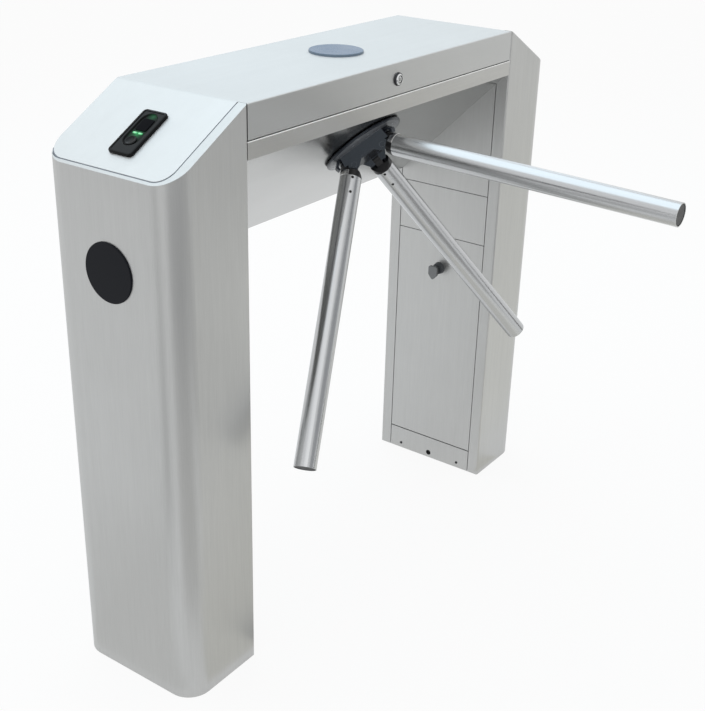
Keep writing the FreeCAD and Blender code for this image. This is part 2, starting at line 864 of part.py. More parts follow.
def bearing_housing():
    front = -panel_sheet
    back = front - housing_flange_thickness
    body = turned([(bush_radius, housing_back), (housing_radius, housing_back),
                   (housing_radius, back - housing_flare), (housing_radius + housing_flare, back),
                   (housing_flange, back), (housing_flange, front),
                   (housing_spigot, front), (housing_spigot, 0), (bush_radius, 0)])
    for number in range(6):
        turn = math.radians(60 * number + 30)
        centre = V(housing_bolt_ring * math.cos(turn), housing_bolt_ring * math.sin(turn), 0)
        body = body.cut(rod(housing_bolt_radius, centre + V(0, 0, back - past), centre))
    return body


def bush(low):
    bore = shaft_radius + running_fit
    high = low + bush_length
    return turned([(bore, low), (bush_radius, low), (bush_radius, high), (bore, high)])


def damper_centre():
    turn = math.radians(damper_direction)
    spacing = gear_module * (gear_teeth + pinion_teeth) / 2
    return V(spacing * math.cos(turn), spacing * math.sin(turn), 0)


def mechanism_plate():
    # Plate on the back of the housing with the pawl stud
    plate = slab([(-plate_half_width, plate_bottom, plate_corner),
                  (plate_half_width, plate_bottom, plate_corner),
                  (plate_half_width, plate_top, plate_corner),
                  (-plate_half_width, plate_top, plate_corner)],
                 plate_back, housing_back)
    below = V(0, 0, plate_back - past)
    above = V(0, 0, housing_back + past)
    plate = plate.cut(rod(plate_bore, below, above))
    hole = damper_centre()
    plate = plate.cut(rod(damper_shaft + damper_shaft_play, hole + below, hole + above))
    stud = rod(pawl_stud, V(pawl_x, pawl_y, plate_back), V(pawl_x, pawl_y, lock_disc_back - pawl_stud_end))
    return plate.fuse(stud).removeSplitter()


def lock_disc():
    disc = Part.makeCylinder(lock_disc_radius, lock_disc_thickness, V(0, 0, lock_disc_back))
    spread = math.radians(lock_lug_half_angle)
    lug_root = lock_disc_radius - lock_lug_root
    for number in range(3):
        centre = math.radians(lock_lug_first + 120 * number)
        lug = [(radius * math.cos(turn), radius * math.sin(turn), 0) for radius, turn in
               ((lug_root, centre - spread), (lock_lug_radius, centre - spread),
                (lock_lug_radius, centre + spread), (lug_root, centre + spread))]
        disc = disc.fuse(slab(lug, lock_disc_back, lock_disc_back + lock_disc_thickness))
    bore = rod(shaft_radius, V(0, 0, lock_disc_back - past), V(0, 0, housing_back))
    return disc.removeSplitter().cut(bore)


def pawl():
    # Lever with a nose towards the disc and a tail that the plunger pulls
    top = lock_disc_back + lock_disc_thickness
    stem = pawl_half_width
    lever = slab([(pawl_x - stem, pawl_y, 0), (pawl_x + stem, pawl_y, 0), (pawl_x + stem, -stem, 0),
                  (pawl_nose_x, -stem / 2, 0), (pawl_nose_x, stem / 2, 0), (pawl_x + stem, stem, 0),
                  (pawl_x - stem, stem, pawl_round)], lock_disc_back, top)
    boss = rod(pawl_boss, V(pawl_x, pawl_y, lock_disc_back), V(pawl_x, pawl_y, top))
    tail_y = pawl_y - pawl_tail
    tail = slab([(pawl_x - stem, tail_y - stem, pawl_round), (pawl_x + stem, tail_y - stem, pawl_round),
                 (pawl_x + stem, pawl_y, 0), (pawl_x - stem, pawl_y, 0)], lock_disc_back, top)
    pin = rod(pawl_pin_radius, V(pawl_x, tail_y, lock_disc_back - pawl_pin_length),
              V(pawl_x, tail_y, lock_disc_back))
    shape = lever.fuse([boss, tail, pin]).removeSplitter()
    return shape.cut(rod(pawl_stud + running_fit, V(pawl_x, pawl_y, shaft_back), V(pawl_x, pawl_y, 0)))


plunger_level = lock_disc_back - plunger_drop
plunger_y = pawl_y - pawl_tail


def plunger():
    # Round rod with an eye slotted along Y round the pawl's pin
    start = V(pawl_x + plunger_radius, plunger_y, plunger_level)
    bar = rod(plunger_radius, start, start - V(plunger_length, 0, 0))
    slot = pawl_pin_radius + plunger_pin_gap
    reach = slot + plunger_slot_play
    return bar.cut(box(pawl_x - slot, pawl_x + slot, plunger_y - reach, plunger_y + reach, shaft_back, 0))


def solenoid():
    # Coil housing on the mechanism plate, bored for the plunger
    high = plate_back
    low = plunger_level - solenoid_half
    left = solenoid_margin - plate_half_width
    right = left + solenoid_length
    under = plunger_y - solenoid_half
    over = plunger_y + solenoid_half
    body = slab([(left, under, solenoid_round), (right, under, solenoid_round),
                 (right, over, solenoid_round), (left, over, solenoid_round)], low, high)
    bore = rod(plunger_radius + running_fit, V(left - past, plunger_y, plunger_level),
               V(right + past, plunger_y, plunger_level))
    return body.cut(bore)


def gear_blank(teeth, turn):
    # Involute outline with straight facets between a few flank points
    angle = math.radians(pressure_angle)
    pitch = gear_module * teeth / 2
    base = pitch * math.cos(angle)
    root = pitch - gear_dedendum * gear_module
    tip = pitch + gear_addendum * gear_module
    half_tooth = math.pi / 2 / teeth - gear_backlash / 2 / pitch
    flank = []
    for step in range(flank_steps + 1):
        radius = max(base, root) + (tip - max(base, root)) * step / flank_steps
        lean = math.acos(base / radius)
        flank.append((radius, half_tooth + math.tan(angle) - angle - math.tan(lean) + lean))
    if root < base:
        flank.insert(0, (root, flank[0][1] + root_spread))
    points = []
    for tooth in range(teeth):
        middle = 2 * math.pi * tooth / teeth + turn
        for radius, spread in flank:
            points.append((radius * math.cos(middle - spread), radius * math.sin(middle - spread), 0))
        for radius, spread in reversed(flank):
            points.append((radius * math.cos(middle + spread), radius * math.sin(middle + spread), 0))
    return slab(points, gear_back, gear_back + gear_thickness)


def main_gear():
    gear = gear_blank(gear_teeth, 0)
    gear = gear.cut(rod(shaft_radius, V(0, 0, gear_back - past), V(0, 0, housing_back)))
    for number in range(4):
        turn = math.radians(90 * number)
        centre = V(gear_hole_ring * math.cos(turn), gear_hole_ring * math.sin(turn), 0)
        gear = gear.cut(rod(gear_hole_radius, centre + V(0, 0, gear_back - past), centre))
    return gear


def damper_pinion():
    wheel = gear_blank(pinion_teeth, math.pi / pinion_teeth)
    stem = rod(damper_shaft, V(0, 0, gear_back), V(0, 0, housing_back + damper_length / 2))
    wheel = wheel.fuse(stem).removeSplitter()
    wheel.translate(damper_centre())
    return wheel


def damper_body():
    bore = damper_shaft + running_fit
    high = housing_back + damper_length
    bore_end = housing_back + damper_length / 2 + damper_end_play
    body = turned([(bore, housing_back), (damper_radius, housing_back),
                   (damper_radius, high - damper_chamfer),
                   (damper_radius - damper_chamfer, high), (0, high), (0, bore_end), (bore, bore_end)])
    body.translate(damper_centre())
    return body


def encoder_disc():
    top = encoder_back + encoder_thickness
    disc = Part.makeCylinder(encoder_radius, encoder_thickness, V(0, 0, encoder_back))
    slot_end = encoder_radius - encoder_rim
    slot = box(slot_end - encoder_slot_depth, slot_end, -encoder_slot_width / 2, encoder_slot_width / 2,
               encoder_back - past, top + past)
    for number in range(encoder_slots):
        cut = slot.copy()
        cut.rotate(V(), V(0, 0, 1), 360 * number / encoder_slots)
        disc = disc.cut(cut)
    return disc.cut(rod(shaft_radius, V(0, 0, encoder_back - past), V(0, 0, housing_back)))


def sensor_fork():
    # Post on the mechanism plate whose head straddles the rim of the encoder disc
    gear_tip = gear_module * (gear_teeth / 2 + 1)
    slot_low = encoder_back - encoder_gap
    slot_high = encoder_back + encoder_thickness + encoder_gap
    low = slot_low - sensor_jaw
    post = box(gear_tip + sensor_gear_gap, sensor_reach, -sensor_half_width, sensor_half_width,
               low, plate_back)
    head = box(encoder_radius - encoder_slot_depth, sensor_reach, -sensor_half_width, sensor_half_width,
               low, slot_high + sensor_jaw)
    slot = box(0, encoder_radius + encoder_gap, -sensor_half_width - past, sensor_half_width + past,
               slot_low, slot_high)
    fork = post.fuse(head).removeSplitter().cut(slot)
    fork.rotate(V(), V(0, 0, 1), sensor_direction)
    return fork


for shape, name in ((shaft(), "shaft"), (bearing_housing(), "bearing_housing"),
                    (bush(-bush_length), "bush_front"), (bush(housing_back), "bush_rear"),
                    (mechanism_plate(), "mechanism_plate"), (lock_disc(), "lock_disc"),
                    (pawl(), "pawl"), (plunger(), "plunger"), (solenoid(), "solenoid"),
                    (main_gear(), "main_gear"), (damper_pinion(), "damper_pinion"),
                    (damper_body(), "damper_body"), (encoder_disc(), "encoder_disc"),
                    (sensor_fork(), "sensor_fork")):
    save(put(shape, hub_place), name)

# Control board and power supply


def control_board():
    wall = half - sheet
    face = wall - board_standoff - board_thickness
    board = box(board_x, board_x + board_length, face, face + board_thickness,
                board_z, board_z + board_height)
    inset = board_foot_inset
    for x in (board_x + inset, board_x + board_length - inset):
        for z in (board_z + inset, board_z + board_height - inset):
            board = board.fuse(rod(board_foot_radius, V(x, face + board_thickness, z), V(x, wall, z)))
    for x, z, wide, tall, deep in board_parts:
        board = board.fuse(box(board_x + x, board_x + x + wide, face - deep, face,
                               board_z + z, board_z + z + tall))
    return board.removeSplitter()


def power_supply():
    wall = half - sheet
    case = box(supply_x, supply_x + supply_length, wall - supply_depth, wall,
               supply_z, supply_z + supply_height)
    ledge = box(supply_x - past, supply_x + terminal_ledge, wall - supply_depth - past,
                wall - terminal_height, supply_z - past, supply_z + supply_height + past)
    return case.cut(ledge)


save(control_board(), "control_board")
save(power_supply(), "power_supply")
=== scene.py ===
import bmesh
import bpy
import math
from mathutils import Matrix, Vector


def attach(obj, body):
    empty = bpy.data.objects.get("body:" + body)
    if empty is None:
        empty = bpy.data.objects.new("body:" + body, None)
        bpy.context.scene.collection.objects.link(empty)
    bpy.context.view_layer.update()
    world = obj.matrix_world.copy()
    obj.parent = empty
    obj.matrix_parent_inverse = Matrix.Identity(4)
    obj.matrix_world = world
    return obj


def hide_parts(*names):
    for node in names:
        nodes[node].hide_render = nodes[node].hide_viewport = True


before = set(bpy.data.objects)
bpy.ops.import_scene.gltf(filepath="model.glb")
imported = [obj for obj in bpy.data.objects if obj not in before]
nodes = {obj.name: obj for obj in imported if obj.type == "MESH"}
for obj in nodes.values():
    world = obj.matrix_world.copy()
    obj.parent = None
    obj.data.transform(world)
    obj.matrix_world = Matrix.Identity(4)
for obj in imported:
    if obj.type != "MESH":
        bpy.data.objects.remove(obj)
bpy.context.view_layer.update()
scene = bpy.context.scene
print("frame loaded:", len(nodes), "nodes")

# camera at the photograph's viewing angle, fitted to the cabinet's edges
photoCamera = {
    "azimuth": -54.931,
    "elevation": 25.347,
    "roll": 1.552,
    "place": (-1.66296, -1.21907, 1.38068),
    "focalPixels": 1185.83,
    "longSidePixels": 711,
    "sensorWidth": 36.0,
}


def addObject(name, data):
    holder = bpy.data.objects.new(name, data)
    scene.collection.objects.link(holder)
    return holder


def axesToMatrix(origin, ex, ey, ez):
    turn = Matrix((ex, ey, ez)).transposed().to_4x4()
    return Matrix.Translation(origin) @ turn


def placeCamera(s):
    a, e, r = (math.radians(s[key]) for key in ("azimuth", "elevation", "roll"))
    back = Vector((math.sin(a) * math.cos(e), -math.cos(a) * math.cos(e), math.sin(e)))
    right = (-back).cross(Vector((0, 0, 1))).normalized()
    up = right.cross(-back)
    rolledRight = right * math.cos(r) + up * math.sin(r)
    rolledUp = up * math.cos(r) - right * math.sin(r)
    lens = bpy.data.cameras.new("photoCamera")
    lens.sensor_width = s["sensorWidth"]
    lens.lens = s["focalPixels"] * s["sensorWidth"] / s["longSidePixels"]
    scene.camera = addObject("photoCamera", lens)
    scene.camera.matrix_world = axesToMatrix(s["place"], rolledRight, rolledUp, back)


placeCamera(photoCamera)


# small helpers for node trees
def plug(tree, inputs, values):
    for key, value in values.items():
        if isinstance(value, bpy.types.NodeSocket):
            tree.links.new(value, inputs[key])
        else:
            inputs[key].default_value = value


def addNode(tree, kind, inputs={}, **values):
    node = tree.nodes.new(kind)
    for key, value in values.items():
        setattr(node, key, value)
    plug(tree, node.inputs, inputs)
    return node


def calc(tree, operation, first, second=0.0, clamp=False):
    inputs = {0: first, 1: second}
    return addNode(tree, "ShaderNodeMath", inputs, operation=operation, use_clamp=clamp).outputs[0]


def times(tree, first, second, clamp=False):
    return calc(tree, "MULTIPLY", first, second, clamp)


def vectorCalc(tree, operation, first, second=(0.0, 0.0, 0.0), output="Vector"):
    inputs = {0: first, 1: second}
    return addNode(tree, "ShaderNodeVectorMath", inputs, operation=operation).outputs[output]


def axisPart(tree, vector, axis):
    return addNode(tree, "ShaderNodeSeparateXYZ", {0: vector}).outputs[axis]


def faceNormal(tree):
    return addNode(tree, "ShaderNodeNewGeometry").outputs["Normal"]


def spread(tree, value, low, high, toLow, toHigh):
    inputs = dict(enumerate((value, low, high, toLow, toHigh)))
    return addNode(tree, "ShaderNodeMapRange", inputs).outputs[0]


def within(tree, value, low, high):
    return times(tree, calc(tree, "GREATER_THAN", value, low), calc(tree, "LESS_THAN", value, high))


def blend(tree, factor, first, second):
    # the colours of a mix node are its inputs 6 and 7 and its output 2
    return addNode(tree, "ShaderNodeMix", {0: factor, 6: first, 7: second}, data_type="RGBA").outputs[2]


def speckle(tree, vector, scale, detail=2.0, roughness=0.5):
    inputs = {"Vector": vector, "Scale": scale, "Detail": detail, "Roughness": roughness}
    return addNode(tree, "ShaderNodeTexNoise", inputs).outputs[0]


# grain of a cloudy noise
cloudy = {"detail": 3.0, "roughness": 0.6}


def rgba(colour, gain=1.0):
    return tuple(min(1.0, part * gain) for part in colour) + (1.0,)


def onFloor(level, *plan):
    return [(x, y, level) for x, y in plan]


# light and floor: pale floor, one large soft box above, one behind and a weak fill;
# grey cards that only mirrors see give the steel its darker sides
studio = {
    "worldForLight": 0.72,
    "floorHalf": 40.0,
    "floorColour": (0.95, 0.95, 0.945),
    "floorRoughness": 0.9,
    "floorLift": 0.89,
    "floorInMirror": 0.8,
    "lamps": {
        "topSoftBox": {"at": (0.0, 0.8, 3.3), "aim": (0.0, 0.1, 0.6), "size": (3.6, 3.0),
                       "radiance": 0.80, "tint": (0.77, 1.0, 1.14)},
        "backSoftBox": {"at": (2.2, 1.6, 2.3), "aim": (0.0, 0.0, 0.95), "size": (2.6, 1.8),
                        "radiance": 0.42, "tint": (0.75, 1.0, 1.16)},
        "leftFill": {"at": (-2.8, -2.2, 2.4), "aim": (-0.3, 0.0, 0.6), "size": (2.0, 2.0),
                     "radiance": 0.45, "tint": (1.0, 1.0, 1.0)},
    },
    "cards": {
        "laneCard": {"glow": (0.92, 0.92, 0.88), "corners": onFloor(
            0.004, (-0.45, -0.30), (3.5, -3.2), (5.5, -0.9), (0.5, -0.22))},
        "laneNear": {"glow": (0.76, 0.755, 0.715), "corners": onFloor(
            0.009, (-0.50, -0.14), (-0.44, -0.36), (0.20, -0.66), (0.48, -0.12))},
        "endNear": {"glow": (0.82, 0.825, 0.82), "corners": onFloor(
            0.005, (-0.56, -0.14), (-0.56, 0.14), (-0.85, 0.50), (-0.95, 0.20))},
        "passageCard": {"glow": (0.48, 0.485, 0.48), "corners": onFloor(
            0.010, (-0.37, -0.20), (0.06, -0.20), (0.06, 0.06), (-0.37, 0.06))},
        "endFar": {"glow": (0.54, 0.545, 0.545), "corners": onFloor(
            0.005, (-1.15, -0.15), (-1.0, 0.22), (-4.0, 1.25), (-4.0, 0.45))},
        "skirtCard": {"glow": (0.05, 0.05, 0.048), "corners": onFloor(
            0.006, (1.5, -1.75), (4.4, -6.6), (6.0, -5.7), (2.35, -1.85))},
        "cornerNear": {"glow": (0.68, 0.68, 0.67), "corners": onFloor(
            0.006, (-0.45, -0.38), (-0.76, -0.25), (-1.57, -0.75), (-0.26, -1.31))},
        "cornerMiddle": {"glow": (0.70, 0.705, 0.705), "corners": onFloor(
            0.006, (-0.26, -1.31), (-1.57, -0.75), (-2.04, -1.04), (-0.15, -1.85))},
        "cornerFar": {"glow": (0.16, 0.165, 0.175), "corners": onFloor(
            0.006, (-0.15, -1.85), (-2.04, -1.04), (-3.9, -2.2), (0.29, -4.0))},
        "horizonCard": {
            "glow": (0.04, 0.045, 0.05),
            "corners": [(-2.5, 0.27, 0.72), (-2.0, 1.27, 0.72), (-2.0, 1.27, 1.22), (-2.5, 0.27, 1.22)]},
        "frontCard": {"glow": (0.40, 0.40, 0.395), "corners": onFloor(
            0.008, (-0.10, -0.75), (0.30, -4.5), (1.5, -4.2), (0.52, -1.26))},
        "frontSheet": {
            "glow": (0.46, 0.47, 0.48),
            "corners": [(-0.4, -5.0, 0.9), (5.0, -5.0, 0.9), (5.0, -5.0, 3.4), (-0.4, -5.0, 5.4)]},
        "skySheet": {
            "glow": (1.0, 1.0, 1.0), "gain": 1.25,
            "corners": onFloor(3.6, (-2.9, -3.0), (-0.8, -3.0), (-0.8, -0.6), (-2.9, -0.6))},
    },
}


def seenRays(tree, inMirror=1.0):
    # camera, mirror and glass rays see the white background
    rays = addNode(tree, "ShaderNodeLightPath").outputs
    both = calc(tree, "ADD", rays["Is Camera Ray"], times(tree, rays["Is Glossy Ray"], inMirror))
    return calc(tree, "ADD", both, rays["Is Transmission Ray"], clamp=True)


def addSheet(name, corners, paint):
    mesh = bpy.data.meshes.new(name)
    mesh.from_pydata(corners, [], [(0, 1, 2, 3)])
    mesh.materials.append(paint)
    return addObject(name, mesh)


def addCard(name, card):
    paint = bpy.data.materials.new(name)
    paint.use_nodes = True
    tree = paint.node_tree
    inputs = {"Color": rgba(card["glow"]), "Strength": card.get("gain", 1.0)}
    glow = addNode(tree, "ShaderNodeEmission", inputs)
    plug(tree, tree.nodes["Material Output"].inputs, {"Surface": glow.outputs[0]})
    sheet = addSheet(name, card["corners"], paint)
    for kind in ("camera", "diffuse", "shadow", "transmission"):
        setattr(sheet, "visible_" + kind, False)


def setStudio(s):
    world = bpy.data.worlds.new("paleRoom")
    world.use_nodes = True
    scene.world = world
    tree = world.node_tree
    strength = spread(tree, seenRays(tree), 0.0, 1.0, s["worldForLight"], 1.0)
    plug(tree, tree.nodes["Background"].inputs, {"Strength": strength, "Color": (1.0, 1.0, 1.0, 1.0)})
    paint = bpy.data.materials.new("paleFloor")
    paint.use_nodes = True
    tree = paint.node_tree
    shader = tree.nodes["Principled BSDF"]
    plug(tree, shader.inputs, {"Base Color": rgba(s["floorColour"]), "Roughness": s["floorRoughness"],
                               "Specular IOR Level": 0.0})
    glow = addNode(tree, "ShaderNodeEmission")
    seen = times(tree, seenRays(tree, s["floorInMirror"]), s["floorLift"])
    mix = addNode(tree, "ShaderNodeMixShader", {0: seen, 1: shader.outputs[0], 2: glow.outputs[0]})
    plug(tree, tree.nodes["Material Output"].inputs, {"Surface": mix.outputs[0]})
    h = s["floorHalf"]
    floor = addSheet("floor", onFloor(0, (-h, -h), (h, -h), (h, h), (-h, h)), paint)
    for name, card in s["cards"].items():
        addCard(name, card)
    for name, lamp in s["lamps"].items():
        light = bpy.data.lights.new(name, "AREA")
        light.shape = "RECTANGLE"
        light.size, light.size_y = lamp["size"]
        light.energy = lamp["radiance"] * math.pi * light.size * light.size_y
        light.color = lamp["tint"]
        holder = addObject(name, light)
        aim = Vector(lamp["aim"]) - Vector(lamp["at"])
        turn = aim.to_track_quat("-Z", "Y").to_matrix().to_4x4()
        holder.matrix_world = Matrix.Translation(lamp["at"]) @ turn
        holder.visible_camera = False
    scene.view_settings.view_transform = "Standard"


setStudio(studio)
print("camera and studio set")


# shader groups shared by several finishes
def newGroup(name, inputs, outputs):
    # each group takes a vector and some values, and gives values
    tree = bpy.data.node_groups.new(name, "ShaderNodeTree")
    tree.interface.new_socket("Vector", in_out="INPUT", socket_type="NodeSocketVector")
    for label, value in inputs.items():
        socket = tree.interface.new_socket(label, in_out="INPUT", socket_type="NodeSocketFloat")
        socket.default_value = value
    for label in outputs:
        tree.interface.new_socket(label, in_out="OUTPUT", socket_type="NodeSocketFloat")
    return tree, addNode(tree, "NodeGroupInput").outputs, addNode(tree, "NodeGroupOutput").inputs


def makeBrushGrain():
    # fine scratches over broad rolling bands, on coordinates already stretched along the brushing
    s = {"fineShare": 0.75, "broadShare": 0.25, "middle": 0.5, "gain": 2.0}
    inputs = {"Fine": 900.0, "Broad": 90.0, "Contrast": 1.0}
    tree, given, result = newGroup("brushGrain", inputs, ["Tone", "Height"])
    fine = speckle(tree, given["Vector"], given["Fine"], 3.0, 0.65)
    broad = speckle(tree, given["Vector"], given["Broad"])
    mixed = calc(tree, "ADD", times(tree, fine, s["fineShare"]), times(tree, broad, s["broadShare"]))
    centred = times(tree, calc(tree, "SUBTRACT", mixed, s["middle"]), given["Contrast"])
    tone = calc(tree, "ADD", times(tree, centred, s["gain"]), s["middle"], clamp=True)
    plug(tree, result, {"Tone": tone, "Height": fine})
    return tree


def makeEdgeWear():
    # rubbed edges and painted edge highlight: lighter where a rounded normal leaves the true one, broken
    # up by noise
    s = {"flat": 0.99, "edge": 0.8, "noise": (0.35, 0.65), "least": 0.25}
    inputs = {"Radius": 0.001, "Breakup": 260.0, "Amount": 1.0}
    tree, given, result = newGroup("edgeWear", inputs, ["Mask"])
    bevel = addNode(tree, "ShaderNodeBevel", {"Radius": given["Radius"]}, samples=4).outputs[0]
    likeness = vectorCalc(tree, "DOT_PRODUCT", bevel, faceNormal(tree), "Value")
    edge = spread(tree, likeness, s["flat"], s["edge"], 0.0, 1.0)
    noise = speckle(tree, given["Vector"], given["Breakup"], **cloudy)
    broken = times(tree, edge, spread(tree, noise, *s["noise"], s["least"], 1.0))
    plug(tree, result, {"Mask": times(tree, broken, given["Amount"], clamp=True)})
    return tree


def makeHandling():
    # cloudy smears from cleaning and hands, with a little dust on faces that look up
    s = {"cloud": (0.35, 0.7), "lookUp": (0.4, 1.0), "gritScale": 900.0, "grit": (0.5, 0.72)}
    tree, given, result = newGroup("handling", {"Scale": 7.0, "Amount": 1.0}, ["Smear", "Dust"])
    smear = speckle(tree, given["Vector"], given["Scale"], 4.0, 0.6)
    cloud = spread(tree, smear, *s["cloud"], 0.0, 1.0)
    up = spread(tree, axisPart(tree, faceNormal(tree), "Z"), *s["lookUp"], 0.0, 1.0)
    specks = speckle(tree, given["Vector"], s["gritScale"], 2.0, 0.7)
    settled = times(tree, up, times(tree, spread(tree, specks, *s["grit"], 0.0, 1.0), cloud))
    plug(tree, result, {"Smear": times(tree, cloud, given["Amount"], clamp=True),
                        "Dust": times(tree, settled, given["Amount"], clamp=True)})
    return tree


brushGrain = makeBrushGrain()
edgeWear = makeEdgeWear()
handling = makeHandling()


def useGroup(tree, group, **inputs):
    return addNode(tree, "ShaderNodeGroup", inputs, node_tree=group).outputs


def newFinish(name):
    finish = bpy.data.materials.new(name)
    finish.use_nodes = True
    tree = finish.node_tree
    place = addNode(tree, "ShaderNodeTexCoord").outputs["Object"]
    return finish, tree, tree.nodes["Principled BSDF"].inputs, place


def bump(tree, height, strength, distance):
    inputs = {"Height": height, "Strength": strength, "Distance": distance}
    return addNode(tree, "ShaderNodeBump", inputs).outputs[0]


def mapped(tree, vector, socket, value):
    return addNode(tree, "ShaderNodeMapping", {"Vector": vector, socket: value}).outputs[0]


# tripod geometry shared with the solids, in metres
tripod = {
    "centre": Vector((0.0, -0.0602, 0.8322)),
    "tilt": math.radians(45.0),
    "coneAngle": math.radians(43.3),
    "apexDepth": 0.015,
    "armTurn": 120,
}
axisOut = Vector((0, -math.cos(tripod["tilt"]), -math.sin(tripod["tilt"])))
axisUp = Vector((0, -math.sin(tripod["tilt"]), math.cos(tripod["tilt"])))
axisSide = Vector((1, 0, 0))


def armFrame(number):
    # X across the pivot, Y to the back of the arm, Z out along the tube
    turn = math.radians(tripod["armTurn"] * number)
    radial = axisSide * math.sin(turn) + axisUp * math.cos(turn)
    across = axisSide * math.cos(turn) - axisUp * math.sin(turn)
    outward = axisOut * math.cos(tripod["coneAngle"]) + radial * math.sin(tripod["coneAngle"])
    apex = tripod["centre"] - axisOut * tripod["apexDepth"]
    return axesToMatrix(apex, across, outward.cross(across), outward)


def ventHoles(tree, place, s):
    # one inside the round holes of a perforated front and top
    up = calc(tree, "GREATER_THAN", axisPart(tree, faceNormal(tree), "Z"), 0.5)
    across = axisPart(tree, place, "X")
    rise = spread(tree, up, 0.0, 1.0, axisPart(tree, place, "Z"), axisPart(tree, place, "Y"))
    low, high = (spread(tree, up, 0.0, 1.0, front, back) for front, back in zip(s["rise"], s["back"]))
    inside = times(tree, within(tree, across, *s["along"]), within(tree, rise, low, high))
    squares = []
    for value in (across, rise):
        cell = calc(tree, "SUBTRACT", calc(tree, "FRACT", calc(tree, "DIVIDE", value, s["pitch"])), 0.5)
        squares.append(calc(tree, "POWER", calc(tree, "ABSOLUTE", cell), 2.0))
    away = calc(tree, "SQRT", calc(tree, "ADD", *squares))
    return times(tree, inside, calc(tree, "LESS_THAN", away, s["hole"] / s["pitch"]))


# brushed sheet, where a metal doesn't say otherwise
sheetSteel = {
    "colour": (0.50, 0.50, 0.49), "depth": 0.035, "contrast": 0.8, "roughness": (0.26, 0.34),
    "fine": 2600.0, "broad": 60.0, "stretch": (1.0, 1.0, 0.02), "smear": 0.5, "smearScale": 4.0,
    "bump": 0.03,
}
# how far smears, dust, and rubbing with its painted edge highlight change a metal
metalUse = {"smearShare": 0.12, "smearShade": 0.78, "rubAmount": 0.7, "rubGain": 1.3,
            "smearRough": 0.07, "dustRough": 0.15, "bumpDepth": 0.0006}


def metalFinish(name, **changes):
    s = dict(sheetSteel, **changes)
    finish, tree, shader, place = newFinish(name)
    # a turn brings the brushing onto one axis before it is drawn out
    turned = mapped(tree, place, "Rotation", s["turn"]) if "turn" in s else place
    grain = useGroup(tree, brushGrain, Vector=mapped(tree, turned, "Scale", s["stretch"]),
                     Fine=s["fine"], Broad=s["broad"], Contrast=s["contrast"])
    touch = useGroup(tree, handling, Vector=place, Scale=s["smearScale"], Amount=s["smear"])
    dark, light = rgba(s["colour"], 1 - s["depth"]), rgba(s["colour"], 1 + s["depth"])
    colour = blend(tree, grain["Tone"], dark, light)
    smeared = times(tree, touch["Smear"], metalUse["smearShare"])
    colour = blend(tree, smeared, colour, rgba(s["colour"], metalUse["smearShade"]))
    rough = spread(tree, grain["Tone"], 0.0, 1.0, s["roughness"][1], s["roughness"][0])
    rough = calc(tree, "ADD", rough, times(tree, touch["Smear"], metalUse["smearRough"]))
    if "wear" in s:
        # edges are lightened: partly rubbed metal, partly painted highlight on rounded edges
        rub = useGroup(tree, edgeWear, Vector=place, Radius=s["wear"], Amount=metalUse["rubAmount"])
        colour = blend(tree, rub["Mask"], colour, rgba(s["colour"], metalUse["rubGain"]))
    if "fold" in s:
        # painted highlight: a near-white band along the folded top edge stands in for the light the bend
        # catches
        top = s["fold"]["top"]
        bright = spread(tree, axisPart(tree, place, "Z"), top - s["fold"]["width"], top, 0.0, 1.0)
        colour = blend(tree, bright, colour, rgba(s["fold"]["colour"]))
    if "vents" in s:
        # the holes are painted near black: painted shade of the case's inside seen through them
        holes = ventHoles(tree, place, s["vents"])
        colour = blend(tree, holes, colour, rgba(s["vents"]["colour"]))
    if "matteTop" in s:
        # faces that look up are duller, rubbed by years of wiping, and painted paler for the light that
        # falls on them from above: painted light
        top = s["matteTop"]
        look = axisPart(tree, faceNormal(tree), "Z")
        up = spread(tree, look, *top["lookUp"], 0.0, 1.0)
        gain = spread(tree, look, top["slopeFacing"], 1.0, top["slopeGain"], top["flatGain"])
        paler = addNode(tree, "ShaderNodeVectorMath", {0: colour, "Scale": gain}, operation="SCALE")
        colour = blend(tree, up, colour, paler.outputs[0])
        rough = calc(tree, "ADD", rough, times(tree, up, top["rough"]))
    rough = calc(tree, "ADD", rough, times(tree, touch["Dust"], metalUse["dustRough"]), clamp=True)
    relief = bump(tree, grain["Height"], s["bump"], metalUse["bumpDepth"])
    plug(tree, shader, {"Base Color": colour, "Roughness": rough, "Metallic": 1.0, "Normal": relief})
    return finish


def flangeBand(tree, place, s):
    # painted highlight: one on the dished face of the hub flange, by the distance from the hub axis; a
    # lighter grey there stands in for the light the face catches at a grazing angle
    away = vectorCalc(tree, "SUBTRACT", place, tripod["centre"])
    reach = vectorCalc(tree, "LENGTH", vectorCalc(tree, "CROSS_PRODUCT", away, axisOut), output="Value")
    depth = vectorCalc(tree, "DOT_PRODUCT", away, axisOut, "Value")
    inside = spread(tree, reach, s["outer"] - s["soft"], s["outer"], 1.0, 0.0)
    return times(tree, inside, calc(tree, "LESS_THAN", depth, s["front"]))


# paint and plastic, where a finish doesn't say otherwise
plainCoat = {
    "shine": 0.5, "tint": (1.0, 1.0, 1.0), "dust": 0.25, "dustColour": (0.32, 0.31, 0.29),
    "rubAmount": 0.6, "tone": 0.25, "smearScale": 9.0, "smearRough": 0.08, "mottleEnds": (0.3, 0.7),
    "bumpDepth": 0.0004,
}


